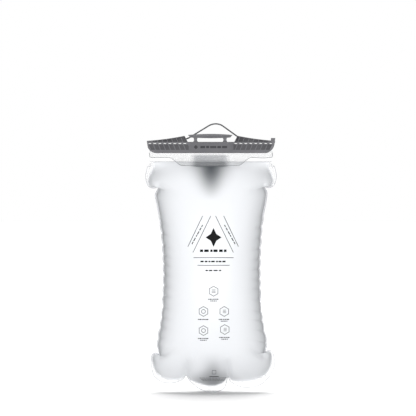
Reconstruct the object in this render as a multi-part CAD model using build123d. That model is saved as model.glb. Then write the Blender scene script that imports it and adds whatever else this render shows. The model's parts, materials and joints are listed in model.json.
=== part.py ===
from build123d import *
import math
import os

# Two-litre hydration bladder, hung upright: +X to the wearer's left as seen from the front,
# the front faces -Y, +Z is up. The origin is the middle of the handle window's top edge, in mm.

# ---------------------------------------------------------------- driving dimensions
closure_depth = 13.8         # front face to back face
closure_plane_y = -0.7       # middle of the closure, front to back
channel_top_z = -5.3         # flat top of the channel between the rib blocks
channel_bottom_z = -20.6
left_corner = 11.6           # run of the channel's rounded lower corners
right_corner = 12.5
film_thickness = 0.5
fold_radius = 0.7            # to the joint between the two films, at the fold
fold_z = -11.5
mouth_width = 171.0          # film strip that slides into the closure
throat_z = -33.0             # where the two films part
bag_bottom_z = -336.0        # where they meet again

# closure inside
rail_depth = 3.2
rail_height = 7.6
rail_top_z = -10.6
rail_length = 169.0
rail_clearance = 0.3         # rails to the channel's walls
slot_clearance = 0.3         # films to the channel's lips
fold_clearance = 0.7         # fold to the channel's roof
end_clearance = 0.3          # films to the channel's closed end
end_wall = 3.2               # closed end of the channel

# rib blocks, ribs and slots
block_depth = 11.8
block_inner_x = 36.7         # inner top corner of each rib block
block_inner_top_z = 3.1
block_outer_top_z = -3.9
block_slant = 5.0
rib_count = 8
rib_pitch = 6.93
rib_width = 1.3
rib_slant = 3.0
left_first_pocket_x = 32.1   # top inner corner of the pocket nearest the handle
right_first_pocket_x = 30.2
pocket_top_z = -8.9
pocket_bottom_z = -16.4
pocket_depth = 1.3
slot_row_z = -7.4
slot_row_height = 1.4
slot_length = 3.8
slot_offset = 4.3            # slot's middle from its pocket's top inner corner
fin_width = 1.2
fin_offset = 4.5
fin_pocket_depth = 4.8
fin_pocket_bottom_z = -5.2
fin_top_margin = 1.3
edge_chamfer = 0.9           # along the channel's top and bottom edges

# handle
bar_x = -1.1                 # the handle sits a little to the left
bar_half_length = 30.9
bar_middle_height = 5.8
bar_end_height = 4.4
bar_depth = 7.0
bar_y = -1.2
bar_end_slant = 3.0
bar_end_low_z = 1.0
bar_low_z = 0.0
bar_groove_height = 1.5
bar_groove_depth = 0.6
bar_groove_z = 1.0
post_spacing = 40.8
post_width = 4.4
post_flare = 1.7
post_depth = 6.0

# hanging cord
cord_diameter = 2.0
cord_y = 3.9
cord_hole_clearance = 0.6
anchor_z = -2.3
anchor_fin_x = 44.2          # inner face of the fin that the cord passes through
anchor_fin_thickness = 2.3
knot_radius = 2.2
knot_gap = 0.25
rear_notch_inner_x = 30.0
rear_notch_outer_x = 55.0
rear_notch_y = 1.3
rear_notch_floor_z = -5.25

# hose port on the back, low on the middle line
port_z = -309.0
port_axis_x = 0.0
boss_flange_radius = 17.5
boss_flange_thickness = 1.2
boss_neck_radius = 14.0
boss_bore_radius = 11.0
boss_inner_y = 13.0
boss_outer_y = 27.5
film_hole_clearance = 0.1
body_fit = 0.15              # socket housing to boss bore, radial
body_inner_y = 10.0
body_collar_radius = 13.5
body_outer_y = 36.5
chamber_radius = 7.0
seat_y = 22.0
plug_bore_radius = 4.8       # takes the hose plug
groove_y = 23.6
o_ring_section = 2.0
retainer_thickness = 1.6
retainer_fit = 0.05
spoke_width = 1.6
stem_radius = 1.4
stem_fit = 0.08
poppet_radius = 5.9
poppet_thickness = 1.6
seal_section = 1.0
poppet_travel = 3.0
poppet_nose_clearance = 1.4  # nose to the plug bore, radial
seal_lip = 0.9               # how far the seal reaches inside the bore's edge
poppet_nose_length = 5.6
spring_wire = 0.6
valve_spring_radius = 3.0
valve_spring_turns = 4
spring_end_gap = 0.05
latch_y = 31.2
latch_thickness = 2.0
latch_half_width = 7.5
latch_clearance = 0.12
latch_travel = 1.3
latch_hole_clearance = 0.2   # round the plug
latch_low_z = -8.2           # below the port axis
button_low_z = 10.6
button_high_z = 16.6
button_half_width = 6.0
button_depth = 5.6
latch_spring_radius = 1.0
latch_spring_wire = 0.35
latch_spring_turns = 5
latch_spring_length = 3.6

# ---------------------------------------------------------------- derived
cavity_end_x = mouth_width / 2 + end_clearance
closure_half = cavity_end_x + end_wall
closure_front_y = closure_plane_y - closure_depth / 2
closure_back_y = closure_plane_y + closure_depth / 2
fold_y = -fold_radius
flap_outer_y = fold_y - fold_radius - film_thickness
front_rail_y = flap_outer_y - rail_depth / 2
back_rail_y = film_thickness + rail_depth / 2
cavity_half = rail_depth + (film_thickness - flap_outer_y) / 2 + rail_clearance
cavity_y = (film_thickness + flap_outer_y) / 2
cavity_bottom_z = rail_top_z - rail_height - rail_clearance
cavity_top_z = max(rail_top_z, fold_z + fold_radius + film_thickness) + fold_clearance
cord_radius = cord_diameter / 2
body_radius = boss_bore_radius - body_fit

# half-width and half-depth of the inflated bag, from the throat to the bottom
BAG_SECTIONS = [
    (throat_z, 76.0, 0.5),
    (-41.0, 79.0, 5.0),
    (-52.0, 79.5, 12.0),
    (-64.0, 71.0, 17.5),
    (-78.0, 74.0, 22.5),
    (-100.0, 71.0, 28.5),
    (-135.0, 66.0, 33.5),
    (-175.0, 63.5, 36.0),
    (-215.0, 63.8, 36.0),
    (-250.0, 67.0, 34.0),
    (-284.0, 73.0, 28.5),
    (-303.0, 71.0, 24.0),
    (-318.0, 74.0, 15.0),
    (-328.0, 62.0, 6.5),
    (bag_bottom_z, 42.0, 0.5),
]


# ---------------------------------------------------------------- helpers
def box(x0, x1, y0, y1, z0, z1):
    """Box between two corners."""
    return Pos((x0 + x1) / 2, (y0 + y1) / 2, (z0 + z1) / 2) * Box(x1 - x0, y1 - y0, z1 - z0)


def front_face(edges):
    """Face in the XZ plane from edges drawn in (x, z)."""
    return make_face([Plane.XZ * edge for edge in edges])


def front_solid(edges, y0, y1):
    """Outline in (x, z), filled from y0 to y1."""
    face = front_face(edges)
    return Pos(0, y0, 0) * extrude(face, amount=y1 - y0, dir=(0, 1, 0))


def front_polygon(points, y0, y1):
    """Polygon in (x, z), filled from y0 to y1."""
    return front_solid([Polyline(*points, close=True)], y0, y1)


def side_polygon(points, x0, x1):
    """Polygon in (y, z), filled from x0 to x1."""
    face = make_face([Plane.YZ * Polyline(*points, close=True)])
    return Pos(x0, 0, 0) * extrude(face, amount=x1 - x0, dir=(1, 0, 0))


def rod_x(radius, x0, x1, y, z):
    """Cylinder along X."""
    return Pos((x0 + x1) / 2, y, z) * Rot(0, 90, 0) * Cylinder(radius, x1 - x0)


def rod_port(radius, y0, y1, dx=0.0, dz=0.0):
    """Cylinder along the port's axis."""
    return Pos(port_axis_x + dx, (y0 + y1) / 2, port_z + dz) * Rot(90, 0, 0) * Cylinder(radius, y1 - y0)


def ring_port(outer, inner, y0, y1):
    """Tube along the port's axis."""
    return rod_port(outer, y0, y1) - rod_port(inner, y0 - 1, y1 + 1)


def half_tube_x(outer, inner, x0, x1):
    """Upper half of a tube along X, at the fold."""
    tube = rod_x(outer, x0, x1, fold_y, fold_z)
    if inner > 0:
        tube -= rod_x(inner, x0 - 1, x1 + 1, fold_y, fold_z)
    return tube & box(x0 - 1, x1 + 1, fold_y - 5, fold_y + 5, fold_z, fold_z + 5)


def bag_loft(grow, sections):
    """Closed body through ellipses, each half-axis changed by grow."""
    rings = [
        Pos(0, 0, z) * Ellipse(half_width + grow, half_depth + grow)
        for z, half_width, half_depth in sections
    ]
    return loft(rings, ruled=True)


# ---------------------------------------------------------------- films
def weld_outline():
    """Edge of the welded margin: mouth strip, shoulder ears, waist and three bottom lobes."""
    half = mouth_width / 2
    return [
        Line((-half, fold_z), (half, fold_z)),
        Line((half, fold_z), (half, -34.0)),
        ThreePointArc((half, -34.0), (90.5, -48.0), (88.6, -62.5)),
        ThreePointArc((88.6, -62.5), (84.5, -67.0), (78.0, -67.1)),
        Line((78.0, -67.1), (71.5, -66.0)),
        Line((71.5, -66.0), (77.5, -75.0)),
        ThreePointArc((77.5, -75.0), (66.2, -190.0), (76.5, -290.0)),
        Line((76.5, -290.0), (73.0, -299.0)),
        Line((73.0, -299.0), (84.0, -297.2)),
        ThreePointArc((84.0, -297.2), (87.0, -325.0), (65.3, -343.8)),
        ThreePointArc((65.3, -343.8), (41.0, -345.6), (24.6, -331.8)),
        Line((24.6, -331.8), (20.5, -336.0)),
        ThreePointArc((20.5, -336.0), (-2.0, -352.8), (-29.0, -336.5)),
        Line((-29.0, -336.5), (-34.0, -330.2)),
        ThreePointArc((-34.0, -330.2), (-56.0, -340.3), (-75.0, -333.3)),
        ThreePointArc((-75.0, -333.3), (-83.0, -318.0), (-80.0, -299.3)),
        Line((-80.0, -299.3), (-72.0, -301.5)),
        Line((-72.0, -301.5), (-75.5, -290.0)),
        ThreePointArc((-75.5, -290.0), (-66.2, -190.0), (-77.5, -75.0)),
        Line((-77.5, -75.0), (-71.0, -66.5)),
        Line((-71.0, -66.5), (-78.0, -67.4)),
        ThreePointArc((-78.0, -67.4), (-85.0, -66.5), (-88.6, -62.5)),
        ThreePointArc((-88.6, -62.5), (-90.5, -48.0), (-half, -34.0)),
        Line((-half, -34.0), (-half, fold_z)),
    ]


def flap_outline():
    """What the folded-over flap keeps: short at the sides, with a deeper tab in the middle."""
    half = mouth_width / 2
    top = fold_z + 3
    return [
        Line((-half, top), (half, top)),
        Line((half, top), (half, -24.0)),
        ThreePointArc((half, -24.0), (half - 0.9, -26.1), (half - 3, -27.0)),
        Line((half - 3, -27.0), (54.0, -27.0)),
        Line((54.0, -27.0), (41.0, -37.5)),
        ThreePointArc((41.0, -37.5), (-2.0, -38.6), (-44.0, -37.5)),
        Line((-44.0, -37.5), (-57.0, -27.0)),
        Line((-57.0, -27.0), (3 - half, -27.0)),
        ThreePointArc((3 - half, -27.0), (0.9 - half, -26.1), (-half, -24.0)),
        Line((-half, -24.0), (-half, top)),
    ]


def flap(near_y):
    """One film of the flap: down from the fold, then leaning out over the bag's shoulder."""
    far_y = near_y - film_thickness
    kink_z = -29.0
    hem_z = -40.0
    lean = 5.2
    profile = [
        (near_y, fold_z), (near_y, kink_z), (near_y - lean, hem_z),
        (far_y - lean, hem_z), (far_y, kink_z), (far_y, fold_z),
    ]
    half = mouth_width / 2
    return side_polygon(profile, -half, half) & front_solid(flap_outline(), -12, 0)


def film(front):
    """One film: inflated panel, welded margin, mouth strip, fold and flap."""
    reach = 80
    side = box(-reach * 2, reach * 2, -reach, 0, -400, 50) if front else box(
        -reach * 2, reach * 2, 0, reach, -400, 50)
    inner_sections = [(z, w, d) for z, w, d in BAG_SECTIONS if d > 4]
    top_z, top_w, _ = inner_sections[0]
    low_z, low_w, _ = inner_sections[-1]
    inner_sections[0:0] = [(throat_z - 1.5, top_w - 4, film_thickness + 0.4)]
    inner_sections.append((bag_bottom_z + 1.8, low_w - 12, film_thickness + 0.4))
    margin = front_solid(weld_outline(), -film_thickness, film_thickness)
    shell = ((bag_loft(0, BAG_SECTIONS) + margin) & side) - bag_loft(-film_thickness, inner_sections)
    half = mouth_width / 2
    inner = fold_radius - film_thickness if front else fold_radius
    bend = half_tube_x(inner + film_thickness, inner, -half, half)
    near_y = fold_y - inner
    return shell + bend + flap(near_y)


def front_film():
    """Front film, the inner layer of the fold."""
    return film(True)


def back_film():
    """Back film, the outer layer of the fold, with the hole that the port is welded into."""
    hole = boss_neck_radius + film_hole_clearance
    return film(False) - rod_port(hole, 1.0, 60.0)


def seal_rail(y):
    """Stiff bead welded on one side of the folded mouth."""
    bar = box(-rail_length / 2, rail_length / 2, y - rail_depth / 2, y + rail_depth / 2,
              rail_top_z - rail_height, rail_top_z)
    return chamfer(bar.edges().filter_by(Axis.X).group_by(Axis.Z)[-1], rail_depth / 5)


# ---------------------------------------------------------------- slide closure
def channel_outline():
    """Front view of the channel with its rounded lower corners and rising ends."""
    half = closure_half
    return [
        Line((-half, block_outer_top_z), (1.4 - half, -13.6)),
        ThreePointArc((1.4 - half, -13.6), (5.6 - half, -18.3), (left_corner - half, channel_bottom_z)),
        Line((left_corner - half, channel_bottom_z), (half - right_corner, channel_bottom_z)),
        ThreePointArc((half - right_corner, channel_bottom_z), (half - 4.6, -16.2), (half - 1.0, -8.0)),
        Line((half - 1.0, -8.0), (half, 0.0)),
        Line((half, 0.0), (half - 5.6, 0.0)),
        Line((half - 5.6, 0.0), (half - 5.6, channel_top_z)),
        Line((half - 5.6, channel_top_z), (1.6 - half, channel_top_z)),
        Line((1.6 - half, channel_top_z), (1.6 - half, block_outer_top_z)),
        Line((1.6 - half, block_outer_top_z), (-half, block_outer_top_z)),
    ]


def block_outline(side, lower_z):
    """Front view of one rib block: hollow-backed top edge that climbs to the inner end."""
    outer = (side * (closure_half - 0.2), block_outer_top_z)
    middle = (side * 63.9, -1.4)
    inner = (side * block_inner_x, block_inner_top_z)
    foot = (side * (block_inner_x - block_slant), lower_z)
    outer_foot = (side * (closure_half - 0.2), lower_z)
    return [
        ThreePointArc(outer, middle, inner),
        Line(inner, foot),
        Line(foot, outer_foot),
        Line(outer_foot, outer),
    ]


def slanted(side, x, width, z0, z1):
    """Four corners of a leaning pocket whose top is x from the middle, in (x, z)."""
    lean = rib_slant * (z0 - z1) / (pocket_top_z - pocket_bottom_z)
    return [
        (side * x, z0), (side * (x + width), z0),
        (side * (x + width - lean), z1), (side * (x - lean), z1),
    ]


def first_pocket_x(side):
    """Top inner corner of one side's first pocket."""
    return left_first_pocket_x if side < 0 else right_first_pocket_x


def closure_pockets(side):
    """Leaning pockets between the ribs, on both faces, and the row of slots through the channel."""
    cuts = []
    width = rib_pitch - rib_width
    for i in range(rib_count):
        x = first_pocket_x(side) + i * rib_pitch
        corners = slanted(side, x, width, pocket_top_z, pocket_bottom_z)
        for face_y, inward in ((closure_front_y, 1), (closure_back_y, -1)):
            y0, y1 = sorted((face_y - inward, face_y + inward * pocket_depth))
            cuts.append(front_polygon(corners, y0, y1))
        slot_mid = side * (x + slot_offset)
        slot = box(slot_mid - slot_length / 2, slot_mid + slot_length / 2, -20, 20,
                   slot_row_z - slot_row_height / 2, slot_row_z + slot_row_height / 2)
        cuts.append(slot)
    return cuts


def fin_pockets(side):
    """Deep leaning pockets between the fins of one rib block, cut into its front."""
    shape = []
    front_y = closure_plane_y - block_depth / 2
    width = rib_pitch - fin_width
    for i in range(rib_count - 1):
        x = first_pocket_x(side) + fin_offset + i * rib_pitch
        shape.append(front_polygon(slanted(side, x, width, block_inner_top_z + 1, fin_pocket_bottom_z),
                                   front_y - 1, front_y + fin_pocket_depth))
    return shape


def top_skin(side):
    """Thin skin that closes each fin pocket at the block's top edge."""
    y0 = closure_plane_y - block_depth / 2 + 0.8
    upper = front_solid(block_outline(side, channel_top_z - 1), y0, closure_plane_y)
    return upper - Pos(0, 0, -fin_top_margin) * front_solid(
        block_outline(side, channel_top_z - 12), y0 - 1, closure_plane_y + 1)


def handle_bar():
    """Arched bar with leaning ends and a groove along both faces."""
    low, high = bar_half_length - bar_end_slant, bar_half_length
    outline = [
        Line((-low, bar_end_low_z), (-high, bar_end_height)),
        ThreePointArc((-high, bar_end_height), (0, bar_middle_height), (high, bar_end_height)),
        Line((high, bar_end_height), (low, bar_end_low_z)),
        ThreePointArc((low, bar_end_low_z), (0, bar_low_z), (-low, bar_end_low_z)),
    ]
    bar = front_solid(outline, bar_y - bar_depth / 2, bar_y + bar_depth / 2)
    for face_y in (bar_y - bar_depth / 2, bar_y + bar_depth / 2):
        bar -= box(-low + 1.5, low - 1.5, face_y - bar_groove_depth, face_y + bar_groove_depth,
                   bar_groove_z, bar_groove_z + bar_groove_height)
    return Pos(bar_x, 0, 0) * bar


def handle_post(side):
    """Waisted post between the channel and the bar."""
    x, half, wide = bar_x + side * post_spacing / 2, post_width / 2, post_width / 2 + post_flare
    low, mid, high = channel_top_z - 0.5, channel_top_z / 2, bar_end_low_z + 0.4
    outline = [
        ThreePointArc((x - wide, low), (x - half, mid), (x - wide, high)),
        Line((x - wide, high), (x + wide, high)),
        ThreePointArc((x + wide, high), (x + half, mid), (x + wide, low)),
        Line((x + wide, low), (x - wide, low)),
    ]
    return front_solid(outline, bar_y - post_depth / 2, bar_y + post_depth / 2)


def rear_notch(side):
    """Space behind one block for the cord and its knot, open to the back, less the anchor fin."""
    x0, x1 = sorted((side * rear_notch_inner_x, side * rear_notch_outer_x))
    notch = box(x0, x1, rear_notch_y, 30, rear_notch_floor_z, 30)
    f0, f1 = sorted((side * anchor_fin_x, side * (anchor_fin_x + anchor_fin_thickness)))
    fin = box(f0, f1, rear_notch_y - 1, closure_back_y - 0.6, rear_notch_floor_z - 1, block_inner_top_z - 1.6)
    fin -= rod_x(cord_radius + cord_hole_clearance, f0 - 1, f1 + 1, cord_y, anchor_z)
    return notch, fin


def edge_wedges():
    """What the chamfers take off the channel's long edges, on both faces."""
    foot = block_inner_x - block_slant
    low_end = closure_half - left_corner
    cuts = []
    for face_y, inward in ((closure_front_y, 1), (closure_back_y, -1)):
        for z, down, reach in ((channel_top_z, -1, foot), (channel_bottom_z, 1, low_end)):
            corner = [(face_y - inward, z - down), (face_y + inward * edge_chamfer, z - down),
                      (face_y + inward * edge_chamfer, z), (face_y, z + down * edge_chamfer),
                      (face_y - inward, z + down * edge_chamfer)]
            cuts.append(side_polygon(corner, -reach, reach))
    return cuts


def slide_closure():
    """One moulding: channel with lips, rib blocks, posts and handle bar."""
    body = front_solid(channel_outline(), closure_front_y, closure_back_y)
    for wedge in edge_wedges():
        body -= wedge
    body -= box(-closure_half - 5, cavity_end_x, cavity_y - cavity_half, cavity_y + cavity_half,
                cavity_bottom_z, cavity_top_z)
    body -= box(-closure_half - 5, cavity_end_x, flap_outer_y - slot_clearance,
                film_thickness + slot_clearance, channel_bottom_z - 1, cavity_bottom_z + 1)
    for side in (-1, 1):
        block = front_solid(block_outline(side, channel_top_z - 1),
                            closure_plane_y - block_depth / 2, closure_plane_y + block_depth / 2)
        for cut in fin_pockets(side):
            block -= cut
        block += top_skin(side)
        notch, fin = rear_notch(side)
        body += block - notch + fin
        for cut in closure_pockets(side):
            body -= cut
        body += handle_post(side)
    return body + handle_bar()


# ---------------------------------------------------------------- hanging cord
def anchor_x(side):
    """Middle of the knot behind one anchor fin."""
    return side * (anchor_fin_x + anchor_fin_thickness + knot_gap + knot_radius)


def cord_route():
    """Chosen points of the cord's route, from knot to knot."""
    return [
        (anchor_x(-1), cord_y, anchor_z),
        (-35.5, cord_y, anchor_z),
        (1.2, cord_y, 20.1),
        (12.3, cord_y, 20.1),
        (43.4, cord_y, anchor_z),
        (anchor_x(1), cord_y, anchor_z),
    ]


def bend_radii(points):
    """Largest arc at each corner: 0.45 of the shorter run over the tangent of half the turn."""
    radii = []
    for a, b, c in zip(points, points[1:], points[2:]):
        into, out = Vector(*b) - Vector(*a), Vector(*c) - Vector(*b)
        turn = math.radians(into.get_angle(out))
        radii.append(0.45 * min(into.length, out.length) / math.tan(turn / 2))
    return radii


def hang_cord():
    """Cord along its route, straight runs joined by tangent arcs."""
    points = cord_route()
    radii = bend_radii(points)
    print("cord bend radii", [round(r, 1) for r in radii])
    path = FilletPolyline(*points, radius=radii)
    start = Plane(origin=points[0], z_dir=(1, 0, 0))
    tube = sweep(start * Circle(cord_radius), path=path)
    print("cord length", round(path.length, 1), "section check",
          round(tube.volume / (math.pi * cord_radius ** 2 * path.length), 4))
    return tube


def knot(side):
    """Stopper knot, with the hole that the cord's end fills."""
    middle = anchor_x(side)
    x0, x1 = sorted((middle, middle - side * 2 * knot_radius))
    return Pos(middle, cord_y, anchor_z) * Sphere(knot_radius) - rod_x(cord_radius, x0, x1, cord_y, anchor_z)


# ---------------------------------------------------------------- hose port
def port_boss():
    """Welded boss: a flange that follows the film, and the neck that holds the socket."""
    skin = bag_loft(boss_flange_thickness, BAG_SECTIONS) - bag_loft(0, BAG_SECTIONS)
    flange = rod_port(boss_flange_radius, 5, 60) & skin
    neck = rod_port(boss_neck_radius, boss_inner_y, boss_outer_y)
    return (flange + neck) - rod_port(boss_bore_radius, 0, 60)


def latch_box(grow):
    """Room of the latch plate, from its lower edge to above the collar."""
    half = latch_half_width + grow
    low = port_z + latch_low_z - grow - (latch_travel if grow else 0)
    return box(-half, half, latch_y - latch_thickness / 2 - grow, latch_y + latch_thickness / 2 + grow,
               low, port_z + button_low_z + 10)


def button_box(grow):
    """Room of the latch's button, in the top of the collar."""
    half = button_half_width + grow
    low = port_z + button_low_z - grow - (latch_travel if grow else 0)
    return box(-half, half, latch_y - button_depth / 2 - grow, latch_y + button_depth / 2 + grow,
               low, port_z + button_high_z)


def latch_spring_seat():
    """Height of the latch spring's lower end."""
    return port_z + latch_low_z - latch_spring_length


def port_body():
    """Socket housing: barrel in the boss, collar with the latch, valve seat and plug bore."""
    collar = rod_port(body_collar_radius, boss_outer_y, body_outer_y)
    collar = fillet(collar.edges().sort_by(Axis.Y)[-1], 1.2)
    body = rod_port(body_radius, body_inner_y, boss_outer_y + 1) + collar
    body -= rod_port(chamber_radius, body_inner_y - 1, seat_y)
    body -= rod_port(plug_bore_radius, seat_y - 1, body_outer_y + 1)
    groove_floor = boss_bore_radius - o_ring_section - 0.02
    body -= ring_port(body_radius + 1, groove_floor, groove_y - o_ring_section / 2 - 0.2,
                      groove_y + o_ring_section / 2 + 0.2)
    body -= latch_box(latch_clearance) + button_box(latch_clearance)
    spring_room = latch_spring_radius + latch_spring_wire / 2 + 0.25
    room_height = latch_spring_length + 2.0
    body -= Pos(port_axis_x, latch_y, latch_spring_seat() + room_height / 2) * Cylinder(
        spring_room, room_height)
    return body


def body_o_ring():
    """O-ring in the housing's groove, lightly squeezed by the boss bore."""
    major = boss_bore_radius - o_ring_section / 2
    return Pos(port_axis_x, groove_y, port_z) * Rot(90, 0, 0) * Torus(major, o_ring_section / 2 - 0.01)


def valve_retainer():
    """Snap-in spider that guides the poppet's stem and carries the spring."""
    outer = chamber_radius - retainer_fit
    y0, y1 = body_inner_y, body_inner_y + retainer_thickness
    shape = ring_port(outer, outer - 1.4, y0, y1)
    hub = rod_port(stem_radius + 1.6, y0, y1)
    for turn in range(3):
        spoke = Pos(0, 0, outer / 2) * Box(spoke_width, retainer_thickness, outer - 0.6)
        hub += Pos(port_axis_x, (y0 + y1) / 2, port_z) * Rot(0, 120 * turn, 0) * spoke
    return shape + hub - rod_port(stem_radius + stem_fit, y0 - 1, y1 + 1)


def poppet_face_y():
    """Front face of the poppet's disc, one seal section behind the seat."""
    return seat_y - seal_section


def valve_poppet():
    """Valve disc with a ribbed nose for the plug to push and a stem in the spider."""
    face = poppet_face_y()
    back = face - poppet_thickness
    shape = rod_port(poppet_radius, back, face)
    shape += rod_port(stem_radius, body_inner_y - 1.0, back)
    nose = rod_port(plug_bore_radius - poppet_nose_clearance, face, seat_y + poppet_nose_length)
    cross = box(-0.8, 0.8, 0, 50, port_z - 6, port_z + 6) + box(-6, 6, 0, 50, port_z - 0.8, port_z + 0.8)
    return shape + (nose & cross)


def poppet_seal():
    """Flat rubber ring between the poppet's disc and the seat."""
    face = poppet_face_y()
    return ring_port(poppet_radius - 0.1, plug_bore_radius - seal_lip, face, seat_y - 0.02)


def coil(radius, wire, turns, length):
    """Helical spring along +Z from z = 0."""
    pitch = (length - wire) / turns
    path = Helix(pitch=pitch, height=length - wire, radius=radius)
    start = Plane(origin=path @ 0, z_dir=path % 0)
    return Pos(0, 0, wire / 2) * sweep(start * Circle(wire / 2), path=path, is_frenet=True)


def valve_spring():
    """Spring that shuts the poppet, between the spider and the disc."""
    low = body_inner_y + retainer_thickness + spring_end_gap
    high = poppet_face_y() - poppet_thickness - spring_end_gap
    spring = coil(valve_spring_radius, spring_wire, valve_spring_turns, high - low)
    return Pos(port_axis_x, high, port_z) * Rot(90, 0, 0) * spring


def latch_spring():
    """Spring that lifts the latch plate."""
    spring = coil(latch_spring_radius, latch_spring_wire, latch_spring_turns,
                  latch_spring_length - 2 * spring_end_gap)
    return Pos(port_axis_x, latch_y, latch_spring_seat() + spring_end_gap) * spring


def release_latch():
    """Latch plate with its off-centre hole, and the button that frees the plug."""
    half = latch_half_width
    plate = box(-half, half, latch_y - latch_thickness / 2, latch_y + latch_thickness / 2,
                port_z + latch_low_z, port_z + button_low_z + 1)
    plate -= rod_port(plug_bore_radius + latch_hole_clearance, latch_y - 5, latch_y + 5, dz=latch_travel)
    button = box(-button_half_width, button_half_width, latch_y - button_depth / 2,
                 latch_y + button_depth / 2, port_z + button_low_z, port_z + button_high_z)
    button = fillet(button.edges().group_by(Axis.Z)[-1], 1.4)
    return plate + button


PARTS = {
    "front_film": front_film,
    "back_film": back_film,
    "front_seal_rail": lambda: seal_rail(front_rail_y),
    "back_seal_rail": lambda: seal_rail(back_rail_y),
    "slide_closure": slide_closure,
    "hang_cord": hang_cord,
    "left_knot": lambda: knot(-1),
    "right_knot": lambda: knot(1),
    "port_boss": port_boss,
    "port_body": port_body,
    "body_o_ring": body_o_ring,
    "valve_retainer": valve_retainer,
    "valve_poppet": valve_poppet,
    "poppet_seal": poppet_seal,
    "valve_spring": valve_spring,
    "release_latch": release_latch,
    "latch_spring": latch_spring,
}

os.makedirs("parts", exist_ok=True)
for node, make in PARTS.items():
    export_step(make(), f"parts/{node}.step")
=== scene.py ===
"""Hydration bladder: the looks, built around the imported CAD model."""

from __future__ import annotations

import json
import logging
import math
from dataclasses import dataclass, field
from enum import Enum
from typing import Callable, Sequence

import bmesh
import bpy
from mathutils import Matrix, Vector, noise
from mathutils.bvhtree import BVHTree

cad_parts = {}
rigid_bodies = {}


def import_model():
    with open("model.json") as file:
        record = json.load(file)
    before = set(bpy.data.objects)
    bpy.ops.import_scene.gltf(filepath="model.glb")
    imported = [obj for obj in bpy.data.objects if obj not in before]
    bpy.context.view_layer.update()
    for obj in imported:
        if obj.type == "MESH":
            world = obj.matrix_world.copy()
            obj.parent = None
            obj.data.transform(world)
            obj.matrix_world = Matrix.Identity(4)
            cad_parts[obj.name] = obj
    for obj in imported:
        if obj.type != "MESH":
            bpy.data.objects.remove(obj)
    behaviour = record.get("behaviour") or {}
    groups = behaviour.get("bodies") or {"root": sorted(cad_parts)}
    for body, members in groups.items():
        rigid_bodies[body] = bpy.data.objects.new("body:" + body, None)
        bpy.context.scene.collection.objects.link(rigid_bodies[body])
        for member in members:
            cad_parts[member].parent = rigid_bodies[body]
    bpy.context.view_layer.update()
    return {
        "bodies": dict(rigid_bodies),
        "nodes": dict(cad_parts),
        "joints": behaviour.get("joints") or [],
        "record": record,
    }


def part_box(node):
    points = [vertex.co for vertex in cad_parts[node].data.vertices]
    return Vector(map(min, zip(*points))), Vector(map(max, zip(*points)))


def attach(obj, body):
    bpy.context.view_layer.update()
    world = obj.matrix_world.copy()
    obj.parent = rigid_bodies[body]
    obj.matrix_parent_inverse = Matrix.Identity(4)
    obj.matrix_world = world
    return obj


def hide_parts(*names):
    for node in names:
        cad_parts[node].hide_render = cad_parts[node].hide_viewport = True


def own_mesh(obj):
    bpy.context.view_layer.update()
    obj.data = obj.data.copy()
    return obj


log = logging.getLogger("bladder")
MM = 0.001
Colour = tuple[float, float, float, float]
Parts = tuple[bpy.types.Material, bpy.types.Nodes, bpy.types.NodeLinks, bpy.types.Node]


# ------------------------------------------------------------------ shared helpers
def link_object(name: str, data: bpy.types.ID) -> bpy.types.Object:
    """Makes an object at the origin and links it to the scene.

    Args:
        name: The object's name.
        data: Its mesh, curve, lamp or lens.

    Returns:
        The new object.
    """
    obj = bpy.data.objects.new(name, data)
    bpy.context.scene.collection.objects.link(obj)
    return obj


def start_material(name: str) -> Parts:
    """Starts a material with its main shader.

    Args:
        name: The material's name.

    Returns:
        The material, its nodes, its links and its shader.
    """
    material = bpy.data.materials.new(name)
    material.use_nodes = True
    tree = material.node_tree
    return material, tree.nodes, tree.links, tree.nodes["Principled BSDF"]


def colour_mix(nodes: bpy.types.Nodes, first: Colour | None, second: Colour) -> bpy.types.Node:
    """Adds a mix of two colours to a material.

    Args:
        nodes: The material's nodes.
        first: The colour at a factor of 0, or nothing where it will be linked.
        second: The colour at a factor of 1.

    Returns:
        The mix's node.
    """
    mix = nodes.new("ShaderNodeMix")
    mix.data_type = "RGBA"
    if first:
        mix.inputs["A"].default_value = first
    mix.inputs["B"].default_value = second
    return mix


def brighter(colour: Colour, share: float) -> Colour:
    """Scales a colour's brightness, up to white."""
    return tuple(min(1.0, c * share) for c in colour[:3]) + (1.0,)


# ------------------------------------------------------------------ node groups and finishes
class Effect(Enum):
    """Surface effects that several materials share, each one node group."""

    GRAIN = "moulded_grain"
    # painted shade in the closure's pockets
    POCKET_SHADE = "shaded_pockets"
    WEAR = "edge_wear"
    DUST = "fine_dust"


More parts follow.
